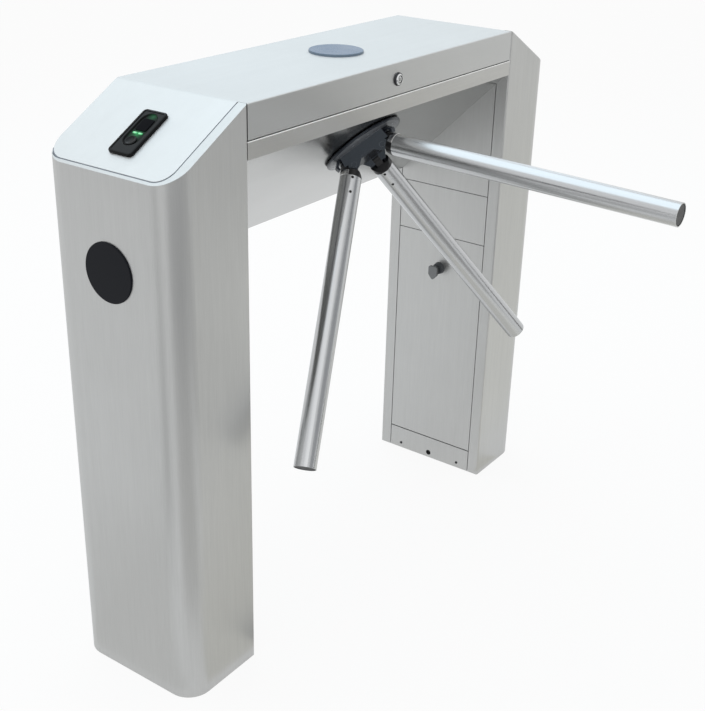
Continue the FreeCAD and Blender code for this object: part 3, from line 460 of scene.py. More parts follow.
def coatFinish(name, **changes):
    s = dict(plainCoat, **changes)
    finish, tree, shader, place = newFinish(name)
    mottle = speckle(tree, place, s["mottle"], **cloudy)
    touch = useGroup(tree, handling, Vector=place, Scale=s["smearScale"], Amount=s["smear"])
    dark, light = rgba(s["colour"], 1 - s["tone"]), rgba(s["colour"], 1 + s["tone"])
    colour = blend(tree, mottle, dark, light)
    if "flange" in s:
        # painted sheen: the flange's dished face is painted a lighter grey
        band = flangeBand(tree, place, s["flange"])
        colour = blend(tree, band, colour, rgba(s["flange"]["colour"]))
    if "wear" in s:
        # edges are lightened: partly rubbed paint, partly painted highlight on rounded edges
        rub = useGroup(tree, edgeWear, Vector=place, Radius=s["wear"], Amount=s["rubAmount"])
        colour = blend(tree, rub["Mask"], colour, rgba(s["wearColour"]))
    colour = blend(tree, times(tree, touch["Dust"], s["dust"]), colour, rgba(s["dustColour"]))
    rough = spread(tree, mottle, *s["mottleEnds"], *s["roughness"])
    rough = calc(tree, "ADD", rough, times(tree, touch["Smear"], s["smearRough"]), clamp=True)
    relief = bump(tree, speckle(tree, place, s["peel"]), s["bump"], s["bumpDepth"])
    plug(tree, shader, {"Base Color": colour, "Roughness": rough, "Normal": relief,
                        "Specular IOR Level": s["shine"], "Specular Tint": rgba(s["tint"])})
    return finish


# metals; stretch draws the grain out along one axis
alongBeam = (0.02, 1.0, 1.0)
evenGrain = (1.0, 1.0, 1.0)
spangle = (0.4, 1.0, 0.4)
uprightSteel = metalFinish(
    "uprightSteel", colour=(0.522, 0.527, 0.523), depth=0.045, fine=820.0, broad=130.0, contrast=1.1,
    roughness=(0.33, 0.42))
beamSteel = metalFinish("beamSteel", stretch=alongBeam)
# the rail's folded top edge carries a painted highlight
railSteel = metalFinish(
    "railSteel", stretch=alongBeam, fine=820.0, broad=130.0, depth=0.05,
    fold={"top": 0.9245, "width": 0.0022, "colour": (0.96, 0.97, 0.96)})
panelSteel = metalFinish(
    "panelSteel", stretch=alongBeam, colour=(0.432, 0.433, 0.427), roughness=(0.13, 0.19))
# the lid's upward faces are painted paler: painted light
lidSteel = metalFinish(
    "lidSteel", stretch=alongBeam, colour=(0.515, 0.523, 0.522),
    matteTop={"rough": 0.24, "lookUp": (0.3, 0.6), "slopeFacing": 0.874, "slopeGain": 1.23,
              "flatGain": 1.1})
lockChrome = metalFinish(
    "lockChrome", colour=(0.66, 0.67, 0.68), stretch=evenGrain, fine=2400.0, broad=300.0,
    roughness=(0.07, 0.13), depth=0.05, bump=0.01)
zincPlate = metalFinish(
    "zincPlate", colour=(0.42, 0.43, 0.43), stretch=spangle, fine=220.0, broad=45.0, contrast=1.5,
    depth=0.16, roughness=(0.34, 0.5), bump=0.02)
ventedZinc = metalFinish(
    "ventedZinc", colour=(0.50, 0.51, 0.52), stretch=spangle, fine=260.0, broad=45.0, contrast=1.4,
    depth=0.14, roughness=(0.34, 0.48), bump=0.02,
    vents={"pitch": 0.0078, "hole": 0.0024, "along": (-0.2808, -0.1638), "rise": (0.741, 0.819),
           "back": (0.0936, 0.1170), "colour": (0.006, 0.006, 0.007)})
turnedSteel = metalFinish(
    "turnedSteel", colour=(0.60, 0.60, 0.60), stretch=evenGrain, fine=2400.0, broad=300.0,
    roughness=(0.12, 0.22), depth=0.06, bump=0.02)
darkSteel = metalFinish(
    "darkSteel", colour=(0.05, 0.051, 0.055), stretch=evenGrain, fine=1600.0, broad=200.0,
    roughness=(0.30, 0.42), depth=0.12, wear=0.0005)
greyZinc = metalFinish(
    "greyZinc", colour=(0.33, 0.335, 0.345), stretch=evenGrain, fine=1100.0, broad=160.0,
    roughness=(0.34, 0.48), depth=0.12, bump=0.04, wear=0.0007)
handleGrey = metalFinish(
    "handleGrey", colour=(0.185, 0.192, 0.196), stretch=evenGrain, fine=1100.0, broad=160.0,
    roughness=(0.34, 0.46), depth=0.1)
castIron = metalFinish(
    "castIron", colour=(0.22, 0.225, 0.23), stretch=evenGrain, fine=700.0, broad=90.0,
    roughness=(0.45, 0.65), depth=0.2, bump=0.25, wear=0.0012)
bushBronze = metalFinish(
    "bushBronze", colour=(0.62, 0.42, 0.18), stretch=evenGrain, fine=1800.0, roughness=(0.22, 0.34),
    depth=0.1, bump=0.02)
tubeFinishes = []
for number in range(3):
    tubeFinishes.append(metalFinish(
        "tubePolish%d" % (number + 1), colour=(0.52, 0.53, 0.54), depth=0.04, contrast=0.9,
        roughness=(0.17, 0.26), fine=1300.0, broad=220.0, stretch=(1.0, 1.0, 0.012), smear=0.6, bump=0.02,
        turn=armFrame(number).to_3x3().inverted().to_euler()))

# paints and plastics
# the hub's flange band is a painted sheen and its lighter edges are partly painted highlight
hubBlack = coatFinish(
    "hubBlack", colour=(0.007, 0.0085, 0.014), mottle=60.0, smear=0.6, roughness=(0.17, 0.27), peel=900.0,
    bump=0.06, wear=0.0018, rubAmount=0.7, wearColour=(0.13, 0.135, 0.15), tint=(0.78, 0.9, 1.0), dust=0.1,
    flange={"outer": 0.0738, "soft": 0.002, "front": 0.0074, "colour": (0.13, 0.135, 0.145)})
knuckleBlack = coatFinish(
    "knuckleBlack", colour=(0.0035, 0.0035, 0.0045), mottle=60.0, smear=0.6, roughness=(0.24, 0.36),
    peel=900.0, bump=0.10, wear=0.0008, wearColour=(0.045, 0.047, 0.052), shine=0.4, dust=0.1)
mouldedBlack = coatFinish(
    "mouldedBlack", colour=(0.008, 0.008, 0.009), mottle=90.0, smear=0.7, roughness=(0.42, 0.56),
    peel=1900.0, bump=0.10, wear=0.0005, wearColour=(0.05, 0.05, 0.052), shine=0.4)
bossBlack = coatFinish(
    "bossBlack", colour=(0.065, 0.07, 0.077), mottle=90.0, smear=0.7, roughness=(0.38, 0.5), peel=1500.0,
    bump=0.06, shine=0.4)
# near black of the plinth plugs: partly the plug's own black, partly painted shade of the holes they sit
# in
plugBlack = coatFinish(
    "plugBlack", colour=(0.003, 0.0035, 0.004), mottle=300.0, smear=0.3, roughness=(0.55, 0.7),
    peel=1500.0, bump=0.05, shine=0.15, dust=0.03)
capGrey = coatFinish(
    "capGrey", colour=(0.022, 0.023, 0.027), mottle=120.0, smear=0.6, roughness=(0.3, 0.42), peel=1300.0,
    bump=0.05, wear=0.0006, rubAmount=0.5, wearColour=(0.12, 0.122, 0.126), shine=0.35, dust=0.05)
# grey for the strip in the lid's seam: painted shade
sealGrey = coatFinish(
    "sealGrey", colour=(0.23, 0.25, 0.285), mottle=200.0, smear=0.4, roughness=(0.55, 0.7), peel=1500.0,
    bump=0.05, shine=0.2)
coilGrey = coatFinish(
    "coilGrey", colour=(0.27, 0.285, 0.30), mottle=70.0, smear=0.8, roughness=(0.38, 0.5), peel=1100.0,
    bump=0.08, wear=0.0006, wearColour=(0.5, 0.5, 0.5))
smokedAcrylic = coatFinish(
    "smokedAcrylic", colour=(0.0040, 0.0050, 0.0085), mottle=420.0, smear=1.0, roughness=(0.26, 0.36),
    peel=300.0, bump=0.015, shine=0.12, dust=0.05)
readerGloss = coatFinish(
    "readerGloss", colour=(0.0045, 0.0048, 0.005), mottle=200.0, smear=1.0, roughness=(0.12, 0.2),
    peel=400.0, bump=0.01, shine=0.12, dust=0.05)
sleeveBlue = coatFinish(
    "sleeveBlue", colour=(0.012, 0.03, 0.09), mottle=300.0, smear=0.5, roughness=(0.3, 0.4), peel=1500.0,
    bump=0.05)


def makeLampLens():
    # frosted blue-grey lens; its edge is painted paler than the lens to make up for the light its side
    # wall misses: painted light
    s = {"lensRadius": 0.0462, "rimRadius": 0.0472, "lens": (0.056, 0.118, 0.215),
         "rim": (0.17, 0.225, 0.29), "tone": 0.12, "cloudScale": 22.0, "smearScale": 14.0, "smear": 0.8,
         "roughness": (0.22, 0.34), "shine": 0.2, "frostScale": 700.0, "bump": 0.02, "bumpDepth": 0.0003}
    finish, tree, shader, place = newFinish("lampLens")
    squares = [calc(tree, "POWER", axisPart(tree, place, axis), 2.0) for axis in "XY"]
    away = calc(tree, "SQRT", calc(tree, "ADD", *squares))
    rim = spread(tree, away, s["lensRadius"], s["rimRadius"], 0.0, 1.0)
    cloud = speckle(tree, place, s["cloudScale"], 3.0, 0.55)
    lens = blend(tree, cloud, rgba(s["lens"], 1 - s["tone"]), rgba(s["lens"], 1 + s["tone"]))
    touch = useGroup(tree, handling, Vector=place, Scale=s["smearScale"], Amount=s["smear"])
    relief = bump(tree, speckle(tree, place, s["frostScale"]), s["bump"], s["bumpDepth"])
    plug(tree, shader, {"Base Color": blend(tree, rim, lens, rgba(s["rim"])),
                        "Roughness": spread(tree, touch["Smear"], 0.0, 1.0, *s["roughness"]),
                        "Specular IOR Level": s["shine"], "Normal": relief})
    return finish


lampLens = makeLampLens()


def makeBoardLaminate():
    # green lacquer with copper lines on the laminate, dark mouldings where parts stand off it
    s = {"laminateFace": 0.1193, "green": (0.010, 0.10, 0.045), "line": (0.035, 0.20, 0.085),
         "part": (0.03, 0.031, 0.034), "lineScale": 38.0, "lineWidth": 0.035, "cloudScale": 30.0,
         "cloudShare": 0.3, "cloudShade": 0.5, "glossScale": 200.0, "roughness": (0.28, 0.42),
         "weaveScale": 1200.0, "bump": 0.05, "bumpDepth": 0.0003}
    finish, tree, shader, place = newFinish("boardLaminate")
    inputs = {"Vector": mapped(tree, place, "Rotation", (math.radians(90), 0, 0)),
              "Scale": s["lineScale"], "Mortar Size": s["lineWidth"],
              "Color1": (0, 0, 0, 1), "Color2": (0, 0, 0, 1), "Mortar": (1, 1, 1, 1)}
    lines = addNode(tree, "ShaderNodeTexBrick", inputs).outputs["Color"]
    lacquer = blend(tree, lines, rgba(s["green"]), rgba(s["line"]))
    cloud = times(tree, speckle(tree, place, s["cloudScale"]), s["cloudShare"])
    lacquer = blend(tree, cloud, lacquer, rgba(s["green"], s["cloudShade"]))
    raised = calc(tree, "LESS_THAN", axisPart(tree, place, "Y"), s["laminateFace"])
    gloss = spread(tree, speckle(tree, place, s["glossScale"]), 0.3, 0.7, *s["roughness"])
    relief = bump(tree, speckle(tree, place, s["weaveScale"]), s["bump"], s["bumpDepth"])
    plug(tree, shader, {"Base Color": blend(tree, raised, lacquer, rgba(s["part"])),
                        "Roughness": gloss, "Normal": relief})
    return finish


boardLaminate = makeBoardLaminate()
print("finishes made")

# finish for each solid of the frame, with or without the ending of one in a set
finishOf = {
    uprightSteel: ["leg_shell", "plinth", "middle_panel", "upper_panel", "door"],
    beamSteel: ["beam_back"],
    railSteel: ["beam_rail"],
    panelSteel: ["beam_panel"],
    lidSteel: ["lid"],
    zincPlate: ["leg_frame", "base_plate", "hinge_leaf", "lid_hinge_leaf", "hinge_pin", "mechanism_plate"],
    turnedSteel: ["shaft"],
    hubBlack: ["hub", "arm_pin"],
    knuckleBlack: ["arm_knuckle"],
    darkSteel: ["lid_lock"],
    capGrey: ["arm_cap"],
    mouldedBlack: ["sensor_fork"],
    bossBlack: ["door_lock"],
    handleGrey: ["door_wing"],
    smokedAcrylic: ["end_window"],
    lampLens: ["top_window"],
    readerGloss: ["reader"],
    greyZinc: ["pawl", "lock_disc", "main_gear", "damper_pinion", "encoder_disc", "plunger"],
    castIron: ["bearing_housing", "damper_body"],
    bushBronze: ["bush_front", "bush_rear"],
    coilGrey: ["solenoid"],
    ventedZinc: ["power_supply"],
    boardLaminate: ["control_board"],
    tubeFinishes[0]: ["arm_tube_1"],
    tubeFinishes[1]: ["arm_tube_2"],
    tubeFinishes[2]: ["arm_tube_3"],
}
for finish, names in finishOf.items():
    for name in names:
        for ending in ("", "_near", "_far", "_1", "_2", "_3"):
            if name + ending in nodes:
                for slot in nodes[name + ending].material_slots:
                    slot.material = finish
print("solids dressed")

# pieces are drawn in millimetres; their flat map takes 100 of them to one unit
mm = 0.001
flatScale = 0.01
meshing = {"cornerSteps": 6, "mergeDistance": 0.001, "sharpAngle": math.radians(32)}


# mesh helpers: closed loops of points are lofted into shells
def softLoop(halfU, halfV, corner, level, centre=(0.0, 0.0)):
    points = []
    for quarter, (signU, signV) in enumerate(((1, 1), (-1, 1), (-1, -1), (1, -1))):
        for step in range(meshing["cornerSteps"] + 1):
            angle = math.radians(90 * (quarter + step / meshing["cornerSteps"]))
            points.append(Vector((centre[0] + signU * (halfU - corner) + corner * math.cos(angle),
                                  centre[1] + signV * (halfV - corner) + corner * math.sin(angle), level)))
    return points


def ringLoop(radius, level, centre=(0.0, 0.0)):
    return softLoop(radius, radius, radius, level, centre)


def hexLoop(acrossFlats, level):
    # as many points as a ring loop, pulled onto a hexagon
    points = []
    for point in ringLoop(1.0, level):
        angle = math.degrees(math.atan2(point.y, point.x)) % 60 - 30
        reach = acrossFlats / 2 / math.cos(math.radians(angle))
        points.append(Vector((point.x * reach, point.y * reach, level)))
    return points


def loft(shell, bands):
    # each band is a loop and the paint of the strip that leads to it; both ends are closed
    rows = [[shell.verts.new(point) for point in loop] for loop, paint in bands]
    for low, high, (loop, paint) in zip(rows, rows[1:], bands[1:]):
        for i in range(len(low)):
            j = (i + 1) % len(low)
            shell.faces.new((low[i], low[j], high[j], high[i])).material_index = paint
    shell.faces.new(list(reversed(rows[0]))).material_index = bands[0][1]
    shell.faces.new(rows[-1]).material_index = bands[-1][1]


def shellToMesh(name, shell, paints, place=None):
    # the flat map keeps the place inside the piece
    bmesh.ops.remove_doubles(shell, verts=shell.verts, dist=meshing["mergeDistance"])
    bmesh.ops.recalc_face_normals(shell, faces=shell.faces)
    flat = shell.loops.layers.uv.new("flat")
    for face in shell.faces:
        for corner in face.loops:
            corner[flat].uv = (corner.vert.co.x * flatScale + 0.5, corner.vert.co.y * flatScale + 0.5)
    move = Matrix.Scale(mm, 4)
    if place is not None:
        move = place @ move
    bmesh.ops.transform(shell, matrix=move, verts=shell.verts)
    mesh = bpy.data.meshes.new(name)
    shell.to_mesh(mesh)
    shell.free()
    for paint in paints:
        mesh.materials.append(paint)
    mesh.shade_smooth()
    mesh.set_sharp_from_angle(angle=meshing["sharpAngle"])
    return mesh


def addPiece(name, mesh, body, replaced=()):
    piece = addObject(name, mesh)
    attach(piece, body)
    if replaced:
        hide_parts(*replaced)


def joinBands(name, parts, paint, body):
    # one piece from several lofts, each with the place it is drawn in
    merged = bmesh.new()
    for bands, place in parts:
        shell = bmesh.new()
        loft(shell, bands)
        part = shellToMesh(name + "Part", shell, [], place)
        merged.from_mesh(part)
        bpy.data.meshes.remove(part)
    mesh = bpy.data.meshes.new(name)
    merged.to_mesh(mesh)
    merged.free()
    mesh.materials.append(paint)
    addPiece(name, mesh, body)


# finger reader on each slope: frame, pocket, long recess, sensor glass, lit bars and a dimpled pad;
# a step is an inset from the outline and a level above the sheet, the slope itself is in metres
reader = {
    "frame": {"half": (46.5, 23.5), "corner": 6.5,
              "steps": ((0, -0.4), (0, 3.4), (0.5, 4.5), (1.5, 5.0), (3.6, 5.0), (4.0, 4.7), (4.1, 4.1))},
    "recess": {"half": (34.0, 14.8), "corner": 14.8, "centre": (5.5, 0.0),
               "steps": ((-0.9, 4.1), (0, 3.5), (1.0, 2.2))},
    "glass": {"half": (12.5, 10.5), "corner": 3.0, "centre": (16.5, 0.0),
              "steps": ((0, 2.0), (0, 2.8), (0.5, 3.3))},
    "bars": {"half": (1.7, 4.3), "corner": 1.4, "along": -1.2, "across": 5.0,
             "steps": ((0, 2.0), (0, 2.8), (0.5, 3.3))},
    "pad": {"centre": (-17.5, 0.0), "profile": ((9.6, 2.0), (9.6, 3.2), (8.8, 4.0), (7.7, 4.0), (7.0, 3.5),
                                                (3.6, 2.8), (1.8, 2.7))},
    # painted light on the recess: shift and reach place a green glow spilled from the bars, high with its
    # reach and share a painted highlight spot
    "light": {"shift": 2.0, "reach": 18.0, "high": (35.0, -1.0), "highReach": 14.0, "highShare": 0.8,
              "barReach": 5.0, "barStrength": 0.7},
    "paint": {"recess": ((0.0015, 0.0018, 0.0018), (0.004, 0.0045, 0.0045)),
              "recessGlow": ((0.02, 0.14, 0.055), (0.03, 0.26, 0.09)),
              "bar": ((0.05, 0.35, 0.12), (0.08, 0.42, 0.16)),
              "barGlow": ((0.03, 0.36, 0.11), (0.55, 1.0, 0.66)),
              "glass": ((0.003, 0.003, 0.004), (0.007, 0.007, 0.009))},
    "slopeTop": (0.388, 0.0, 0.980), "slopeFall": (0.162, 0.090), "down": 0.100,
}


def glowSpot(tree, spot, reach):
    # soft round spot on the flat map, centre and reach in millimetres
    flat = addNode(tree, "ShaderNodeUVMap", uv_map="flat").outputs[0]
    centre = (spot[0] * flatScale + 0.5, spot[1] * flatScale + 0.5, 0.0)
    away = vectorCalc(tree, "DISTANCE", flat, centre, "Value")
    return calc(tree, "POWER", spread(tree, away, 0.0, reach * flatScale, 1.0, 0.0), 2.0)


def makeReaderPaints(s):
    light, bars = s["light"], s["bars"]
    ends = {key: [rgba(colour) for colour in pair] for key, pair in s["paint"].items()}
    deep, tree, shader, place = newFinish("readerRecess")
    shade = speckle(tree, place, 260.0, **cloudy)
    # painted light: a green glow from the bars and a painted highlight spot, laid on the recess as
    # emission
    near = glowSpot(tree, (bars["along"] - light["shift"], 0.0), light["reach"])
    high = times(tree, glowSpot(tree, light["high"], light["highReach"]), light["highShare"])
    plug(tree, shader, {
        "Base Color": blend(tree, shade, *ends["recess"]),
        "Roughness": spread(tree, shade, 0.3, 0.7, 0.24, 0.38),
        "Emission Color": blend(tree, near, *ends["recessGlow"]),
        "Emission Strength": calc(tree, "ADD", near, high), "Specular IOR Level": 0.06})
    lamp, tree, shader, place = newFinish("readerLamp")
    grain = speckle(tree, place, 500.0)
    spots = [(bars["along"], hand * bars["across"]) for hand in (-1, 1)]
    cores = [glowSpot(tree, spot, light["barReach"]) for spot in spots]
    core = calc(tree, "ADD", *cores, clamp=True)
    plug(tree, shader, {
        "Base Color": blend(tree, grain, *ends["bar"]),
        "Emission Color": blend(tree, core, *ends["barGlow"]),
        "Emission Strength": light["barStrength"], "Roughness": 0.3})
    glass, tree, shader, place = newFinish("sensorGlass")
    film = speckle(tree, place, 90.0, **cloudy)
    plug(tree, shader, {
        "Base Color": blend(tree, film, *ends["glass"]),
        "Roughness": spread(tree, film, 0.3, 0.7, 0.06, 0.16), "Specular IOR Level": 0.012})
    return [readerGloss, deep, glass, lamp]


def readerFrame(s, side):
    # X up the slope, Y across it, Z out of the sheet
    fall = Vector((side * s["slopeFall"][0], 0.0, -s["slopeFall"][1])).normalized()
    up = -fall
    out = Vector((side * s["slopeFall"][1], 0.0, s["slopeFall"][0])).normalized()
    top = Vector((side * s["slopeTop"][0], s["slopeTop"][1], s["slopeTop"][2]))
    return axesToMatrix(top + fall * s["down"], up, out.cross(up), out)


def stepBands(s, paint, centre=(0.0, 0.0)):
    (u, v), r = s["half"], s["corner"]
    return [(softLoop(u - inset, v - inset, r - inset, level, centre), paint)
            for inset, level in s["steps"]]


def makeReader(name, node, s, side, paints):
    # paints by number: 0 gloss, 1 recess, 2 glass, 3 lamp
    shell = bmesh.new()
    recess = stepBands(s["recess"], 0, s["recess"]["centre"])
    loft(shell, stepBands(s["frame"], 0) + recess[:-1] + [(recess[-1][0], 1)])
    loft(shell, stepBands(s["glass"], 2, s["glass"]["centre"]))
    for hand in (-1, 1):
        loft(shell, stepBands(s["bars"], 3, (s["bars"]["along"], hand * s["bars"]["across"])))
    loft(shell, [(ringLoop(*ring, s["pad"]["centre"]), 0) for ring in s["pad"]["profile"]])
    mesh = shellToMesh(name, shell, paints, readerFrame(s, side))
    addPiece(name, mesh, "lid", [node])


readerPaints = makeReaderPaints(reader)
makeReader("fingerReaderNear", "reader_near", reader, -1, readerPaints)
makeReader("fingerReaderFar", "reader_far", reader, 1, readerPaints)
print("readers built")

# lid lock: domed collar round a barrel with its key slot, on the front of the lock head;
# the profile gives radius, level and paint, the slot its half sizes, corner, level and paint
keyFace = {
    "face": (0.0, -0.1322, 0.952),
    "profile": ((9.4, -0.3, 0), (9.4, 0.3, 0), (8.9, 0.9, 0), (7.9, 1.8, 0), (6.8, 1.8, 0), (7.0, 1.1, 0),
                (5.9, 0.4, 1), (5.4, 0.4, 1), (5.1, 1.0, 0), (4.5, 1.3, 0)),
    "slot": ((1.1, 3.3, 0.99, 1.3, 0), (1.0, 3.2, 0.88, 0.1, 1)),
}


def makeKeyFace(s):
    # paint 1 is near black: painted shade in the groove between collar and barrel and at the bottom of the
    # shallow key slot
    slotDark, tree, shader, place = newFinish("slotDark")
    base = blend(tree, speckle(tree, place, 800.0), (0.004, 0.004, 0.004, 1), (0.02, 0.02, 0.02, 1))
    plug(tree, shader, {"Base Color": base, "Roughness": 0.6})
    shell = bmesh.new()
    bands = [(ringLoop(radius, level), paint) for radius, level, paint in s["profile"]]
    loft(shell, bands + [(softLoop(*outline), paint) for *outline, paint in s["slot"]])
    place = axesToMatrix(s["face"], Vector((1, 0, 0)), Vector((0, 0, 1)), Vector((0, -1, 0)))
    mesh = shellToMesh("lidKeyFace", shell, [lockChrome, slotDark], place)
    addPiece("lidKeyFace", mesh, "lid_lock")


makeKeyFace(keyFace)
print("lock face built")


# node tree that seats a head on every point of a mesh, turned to the point's facing
def makeSeatTree():
    tree = bpy.data.node_groups.new("seatedHeads", "GeometryNodeTree")
    sockets = {"Seats": "Geometry", "Head": "Object", "Size": "Float", "Seed": "Int", "Finish": "Material"}
    for label, kind in sockets.items():
        tree.interface.new_socket(label, in_out="INPUT", socket_type="NodeSocket" + kind)
    tree.interface.new_socket("Fitted", in_out="OUTPUT", socket_type="NodeSocketGeometry")
    given = addNode(tree, "NodeGroupInput").outputs
    facing = addNode(tree, "GeometryNodeInputNamedAttribute", {"Name": "facing"}, data_type="FLOAT_VECTOR")
    inputs = {"Vector": facing.outputs["Attribute"]}
    stand = addNode(tree, "FunctionNodeAlignRotationToVector", inputs, axis="Z")
    # input 3 is the largest value of a random float, output 1 the float itself
    inputs = {3: math.tau, "Seed": given["Seed"]}
    chance = addNode(tree, "FunctionNodeRandomValue", inputs, data_type="FLOAT")
    spin = addNode(tree, "FunctionNodeAxisAngleToRotation", {"Angle": chance.outputs[1]})
    inputs = {"Rotation": stand.outputs["Rotation"], "Rotate By": spin.outputs["Rotation"]}
    turned = addNode(tree, "FunctionNodeRotateRotation", inputs, rotation_space="LOCAL")
    head = addNode(tree, "GeometryNodeObjectInfo", {"Object": given["Head"]}, transform_space="ORIGINAL")
    inputs = {"Points": given["Seats"], "Instance": head.outputs["Geometry"],
              "Rotation": turned.outputs["Rotation"], "Scale": given["Size"]}
    seated = addNode(tree, "GeometryNodeInstanceOnPoints", inputs)
    joined = addNode(tree, "GeometryNodeRealizeInstances", {"Geometry": seated.outputs["Instances"]})
    inputs = {"Geometry": joined.outputs["Geometry"], "Material": given["Finish"]}
    dressed = addNode(tree, "GeometryNodeSetMaterial", inputs)
    addNode(tree, "NodeGroupOutput", {"Fitted": dressed.outputs["Geometry"]})
    return tree


seatTree = makeSeatTree()

# heads in millimetres, standing on their seat with the outside along Z: rings by radius and level,
# then the key's hexagon by width and level
headShapes = {
    "button": {"rings": ((4.75, -0.2), (4.75, 0.5), (4.5, 1.3), (3.9, 2.0), (3.0, 2.5), (2.3, 2.7)),
               "hexes": ((3.2, 2.75), (3.0, 2.6), (3.0, 1.2))},
    "socket": {"rings": ((5.0, -0.2), (5.0, 4.4), (4.7, 4.9), (3.2, 5.0)),
               "hexes": ((4.3, 5.0), (4.0, 4.8), (4.0, 2.6))},
    "grub": {"rings": ((2.5, -1.0), (2.5, 0.15), (2.2, 0.45)),
             "hexes": ((2.5, 0.5), (2.3, 0.4), (2.3, -0.5))},
    "plug": {"rings": ((5.95, -1.2), (5.95, -0.2), (5.5, 0.1), (4.9, 0.0), (4.2, -0.7), (1.2, -0.9))},
    "can": {"rings": ((4.0, -0.2), (4.0, 8.2), (3.7, 8.7), (4.0, 9.2), (4.0, 11.4), (3.6, 12.0),
                      (3.1, 11.7), (1.0, 11.7))},
    "lamp": {"rings": ((1.6, -0.2), (1.6, 0.9), (1.3, 1.0), (1.25, 2.2), (1.0, 2.9), (0.5, 3.3))},
}


def makeHead(name, s):
    shell = bmesh.new()
    loops = [ringLoop(*ring) for ring in s["rings"]] + [hexLoop(*flats) for flats in s.get("hexes", ())]
    loft(shell, [(loop, 0) for loop in loops])
    return addObject(name, shellToMesh(name, shell, []))


heads = {kind: makeHead(kind + "Head", shape) for kind, shape in headShapes.items()}


def seatAll(name, seats, head, finish, body, size, seed):
    # seats are pairs of a place and a facing; size scales the head, seed turns its key
    spots = bpy.data.meshes.new(name + "Seats")
    spots.from_pydata([tuple(place) for place, facing in seats], [], [])
    facings = spots.attributes.new("facing", "FLOAT_VECTOR", "POINT")
    facings.data.foreach_set("vector", [part for place, facing in seats for part in facing])
    holder = addObject(name + "Seats", spots)
    given = {"Head": heads[head], "Size": size, "Seed": seed, "Finish": finish}
    seating = holder.modifiers.new("seatedHeads", "NODES")
    seating.node_group = seatTree
    for item in seatTree.interface.items_tree:
        if item.in_out == "INPUT" and item.name in given:
            seating[item.identifier] = given[item.name]
    finished = holder.evaluated_get(bpy.context.evaluated_depsgraph_get())
    fitted = bpy.data.meshes.new_from_object(finished)
    fitted.name = name
    bpy.data.objects.remove(holder)
    addPiece(name, fitted, body)


# where the small fasteners sit, in metres
plinthScrews = {"across": 0.388, "along": 0.075, "height": 0.012}


def plinthSeats(s, places):
    return [((side * s["across"], along, s["height"]), (-side, 0, 0))
            for side in (-1, 1) for along in places]


seats = plinthSeats(plinthScrews, (-plinthScrews["along"], plinthScrews["along"]))
seatAll("plinthScrews", seats, "button", darkSteel, "cabinet", size=0.65, seed=3)
seats = plinthSeats(plinthScrews, (0.0,))
seatAll("plinthPlugs", seats, "plug", plugBlack, "cabinet", size=1.0, seed=4)

hingeScrews = {"face": 0.1315, "fixed": 0.90975, "moving": 0.94075, "pitch": 0.1, "count": 7}
for name, body, level in (("hingeScrewsFixed", "cabinet", "fixed"),
                          ("hingeScrewsMoving", "lid", "moving")):
    reach = (hingeScrews["count"] - 1) / 2
    seats = [((hingeScrews["pitch"] * (k - reach), hingeScrews["face"], hingeScrews[level]), (0, 1, 0))
             for k in range(hingeScrews["count"])]
    seatAll(name, seats, "button", turnedSteel, body, size=0.8, seed=5)

housingBolts = {"ring": 0.050, "back": 0.010, "count": 6, "first": 30.0}
seats = []
for k in range(housingBolts["count"]):
    turn = math.radians(housingBolts["first"] + 360 / housingBolts["count"] * k)
    spoke = axisSide * math.cos(turn) + axisUp * math.sin(turn)
    spot = tripod["centre"] - axisOut * housingBolts["back"] + spoke * housingBolts["ring"]
    seats.append((spot, -axisOut))
seatAll("housingBolts", seats, "socket", darkSteel, "cabinet", size=1.0, seed=7)

tubeGrubs = {"along": (0.087, 0.114), "radius": 0.0172, "turns": (0.0, -78.0)}
for name, body, numbers in (("tubeGrubsDrop", "arm_1", (0,)), ("tubeGrubsFixed", "hub", (1, 2))):
    seats = []
    for number in numbers:
        place = armFrame(number)
        for turn in tubeGrubs["turns"]:
            facing = Vector((math.cos(math.radians(turn)), math.sin(math.radians(turn)), 0.0))
            for along in tubeGrubs["along"]:
                spot = facing * tubeGrubs["radius"] + Vector((0.0, 0.0, along))
                seats.append((place @ spot, place.to_3x3() @ facing))
    seatAll(name, seats, "grub", knuckleBlack, body, size=0.95, seed=9)

# polished wear strip over the back of each collar, where the claw of the hub holds the arm
wearStrip = {"start": 73.4, "end": 82.9, "inner": 18.9, "outer": 19.6, "edge": 0.5, "sweep": 66.0,
             "steps": 22}


def makeWearStrips(name, s, numbers, body):
    low, high, e = s["start"], s["end"], s["edge"]
    outline = ((low, s["inner"]), (high, s["inner"]), (high, s["outer"] - e), (high - e, s["outer"]),
               (low + e, s["outer"]), (low, s["outer"] - e))
    bands = []
    for step in range(s["steps"] + 1):
        angle = math.radians(s["sweep"] * (2 * step / s["steps"] - 1))
        bands.append(([Vector((r * math.sin(angle), r * math.cos(angle), t)) for t, r in outline], 0))
    joinBands(name, [(bands, armFrame(number)) for number in numbers], turnedSteel, body)


makeWearStrips("wearStripDrop", wearStrip, (0,), "arm_1")
makeWearStrips("wearStripsFixed", wearStrip, (1, 2), "hub")

# grey strip in the gap round each slope of the lid, just below the sheet's face: painted shade, standing
# in for the shade line along the seam
lidSeal = {
    "gap": 2.0, "play": 0.1, "end": 545.0, "side": -113.5, "back": 130.0, "inner": 390.0,
    "corners": (37.0, 25.5), "backTurn": 52.0, "depth": (0.5, 1.3), "top": 980.0, "slopeStart": 388.0,
    "slopeRate": 90.0 / 162.0, "steps": 10,
}


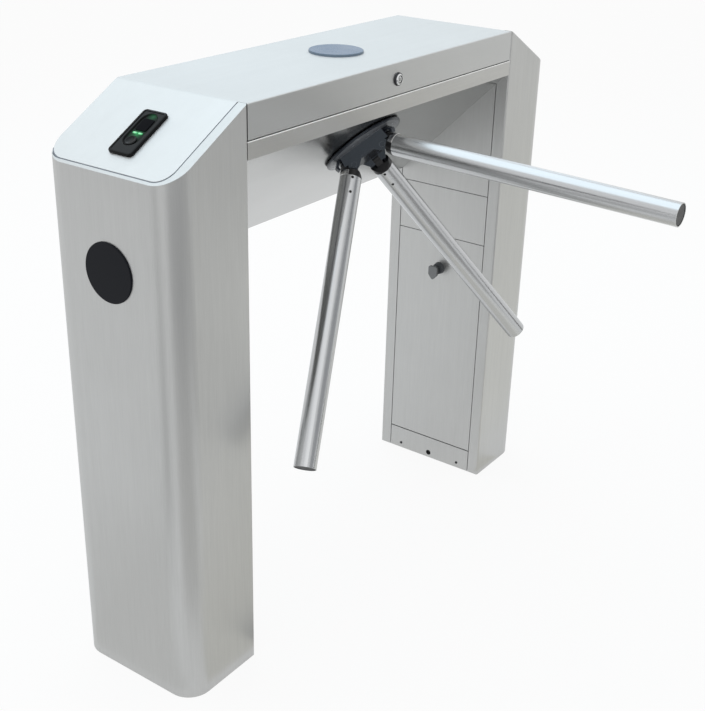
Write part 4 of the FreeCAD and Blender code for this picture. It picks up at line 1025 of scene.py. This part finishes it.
def sealPath(s):
    # places in the plan and the facing out of the lid, from the back corner to the beam
    end, side = s["end"] - s["gap"] / 2, s["side"] + s["gap"] / 2
    backRound, frontRound = s["corners"]
    path = []
    for first, last, radius, middle in ((s["backTurn"], 0.0, backRound, s["back"] - backRound),
                                        (0.0, -90.0, frontRound, side + frontRound)):
        for step in range(s["steps"] + 1):
            turn = math.radians(first + (last - first) * step / s["steps"])
            facing = Vector((math.cos(turn), math.sin(turn)))
            path.append((Vector((end - radius, middle)) + facing * radius, facing))
    path.append((Vector((s["inner"], side)), Vector((0.0, -1.0))))
    return path


def makeLidSeals(s):
    parts = []
    for hand in (-1, 1):
        bands = []
        for place, facing in sealPath(s):
            loop = []
            for reach, depth in ((1, 0), (-1, 0), (-1, 1), (1, 1)):
                x, y = place + facing * (reach * (s["gap"] / 2 - s["play"]))
                level = s["top"] - (x - s["slopeStart"]) * s["slopeRate"] - s["depth"][depth]
                loop.append(Vector((hand * x, y, level)))
            bands.append((loop, 0))
        parts.append((bands, None))
    joinBands("lidSeals", parts, sealGrey, "cabinet")


makeLidSeals(lidSeal)
print("strips and seals built")

# parts on the control board and terminal screws of the supply
boardParts = {
    "face": 0.1195,
    "cans": [(0.160, 0.850), (0.172, 0.850), (0.184, 0.850), (0.300, 0.765)],
    "lamps": [(0.210 + 0.008 * k, 0.862) for k in range(5)],
    "terminalFace": 0.1075,
    "terminals": [(0.150 + 0.0125 * k, 0.752) for k in range(13)],
}
supplyScrews = {"face": 0.1165, "places": [(-0.303, 0.740 + 0.013 * k) for k in range(7)]}


def frontSeats(face, places):
    return [((x, face, z), (0, -1, 0)) for x, z in places]


seats = frontSeats(boardParts["face"], boardParts["cans"])
seatAll("boardCans", seats, "can", sleeveBlue, "cabinet", size=1.0, seed=11)
seats = frontSeats(boardParts["face"], boardParts["lamps"])
seatAll("boardLamps", seats, "lamp", coilGrey, "cabinet", size=1.0, seed=13)
seats = frontSeats(boardParts["terminalFace"], boardParts["terminals"])
seatAll("boardTerminals", seats, "grub", turnedSteel, "cabinet", size=0.9, seed=15)
seats = frontSeats(supplyScrews["face"], supplyScrews["places"])
seatAll("supplyTerminals", seats, "grub", turnedSteel, "cabinet", size=1.1, seed=17)

for holder in heads.values():
    bpy.data.objects.remove(holder)
print("small fasteners seated")
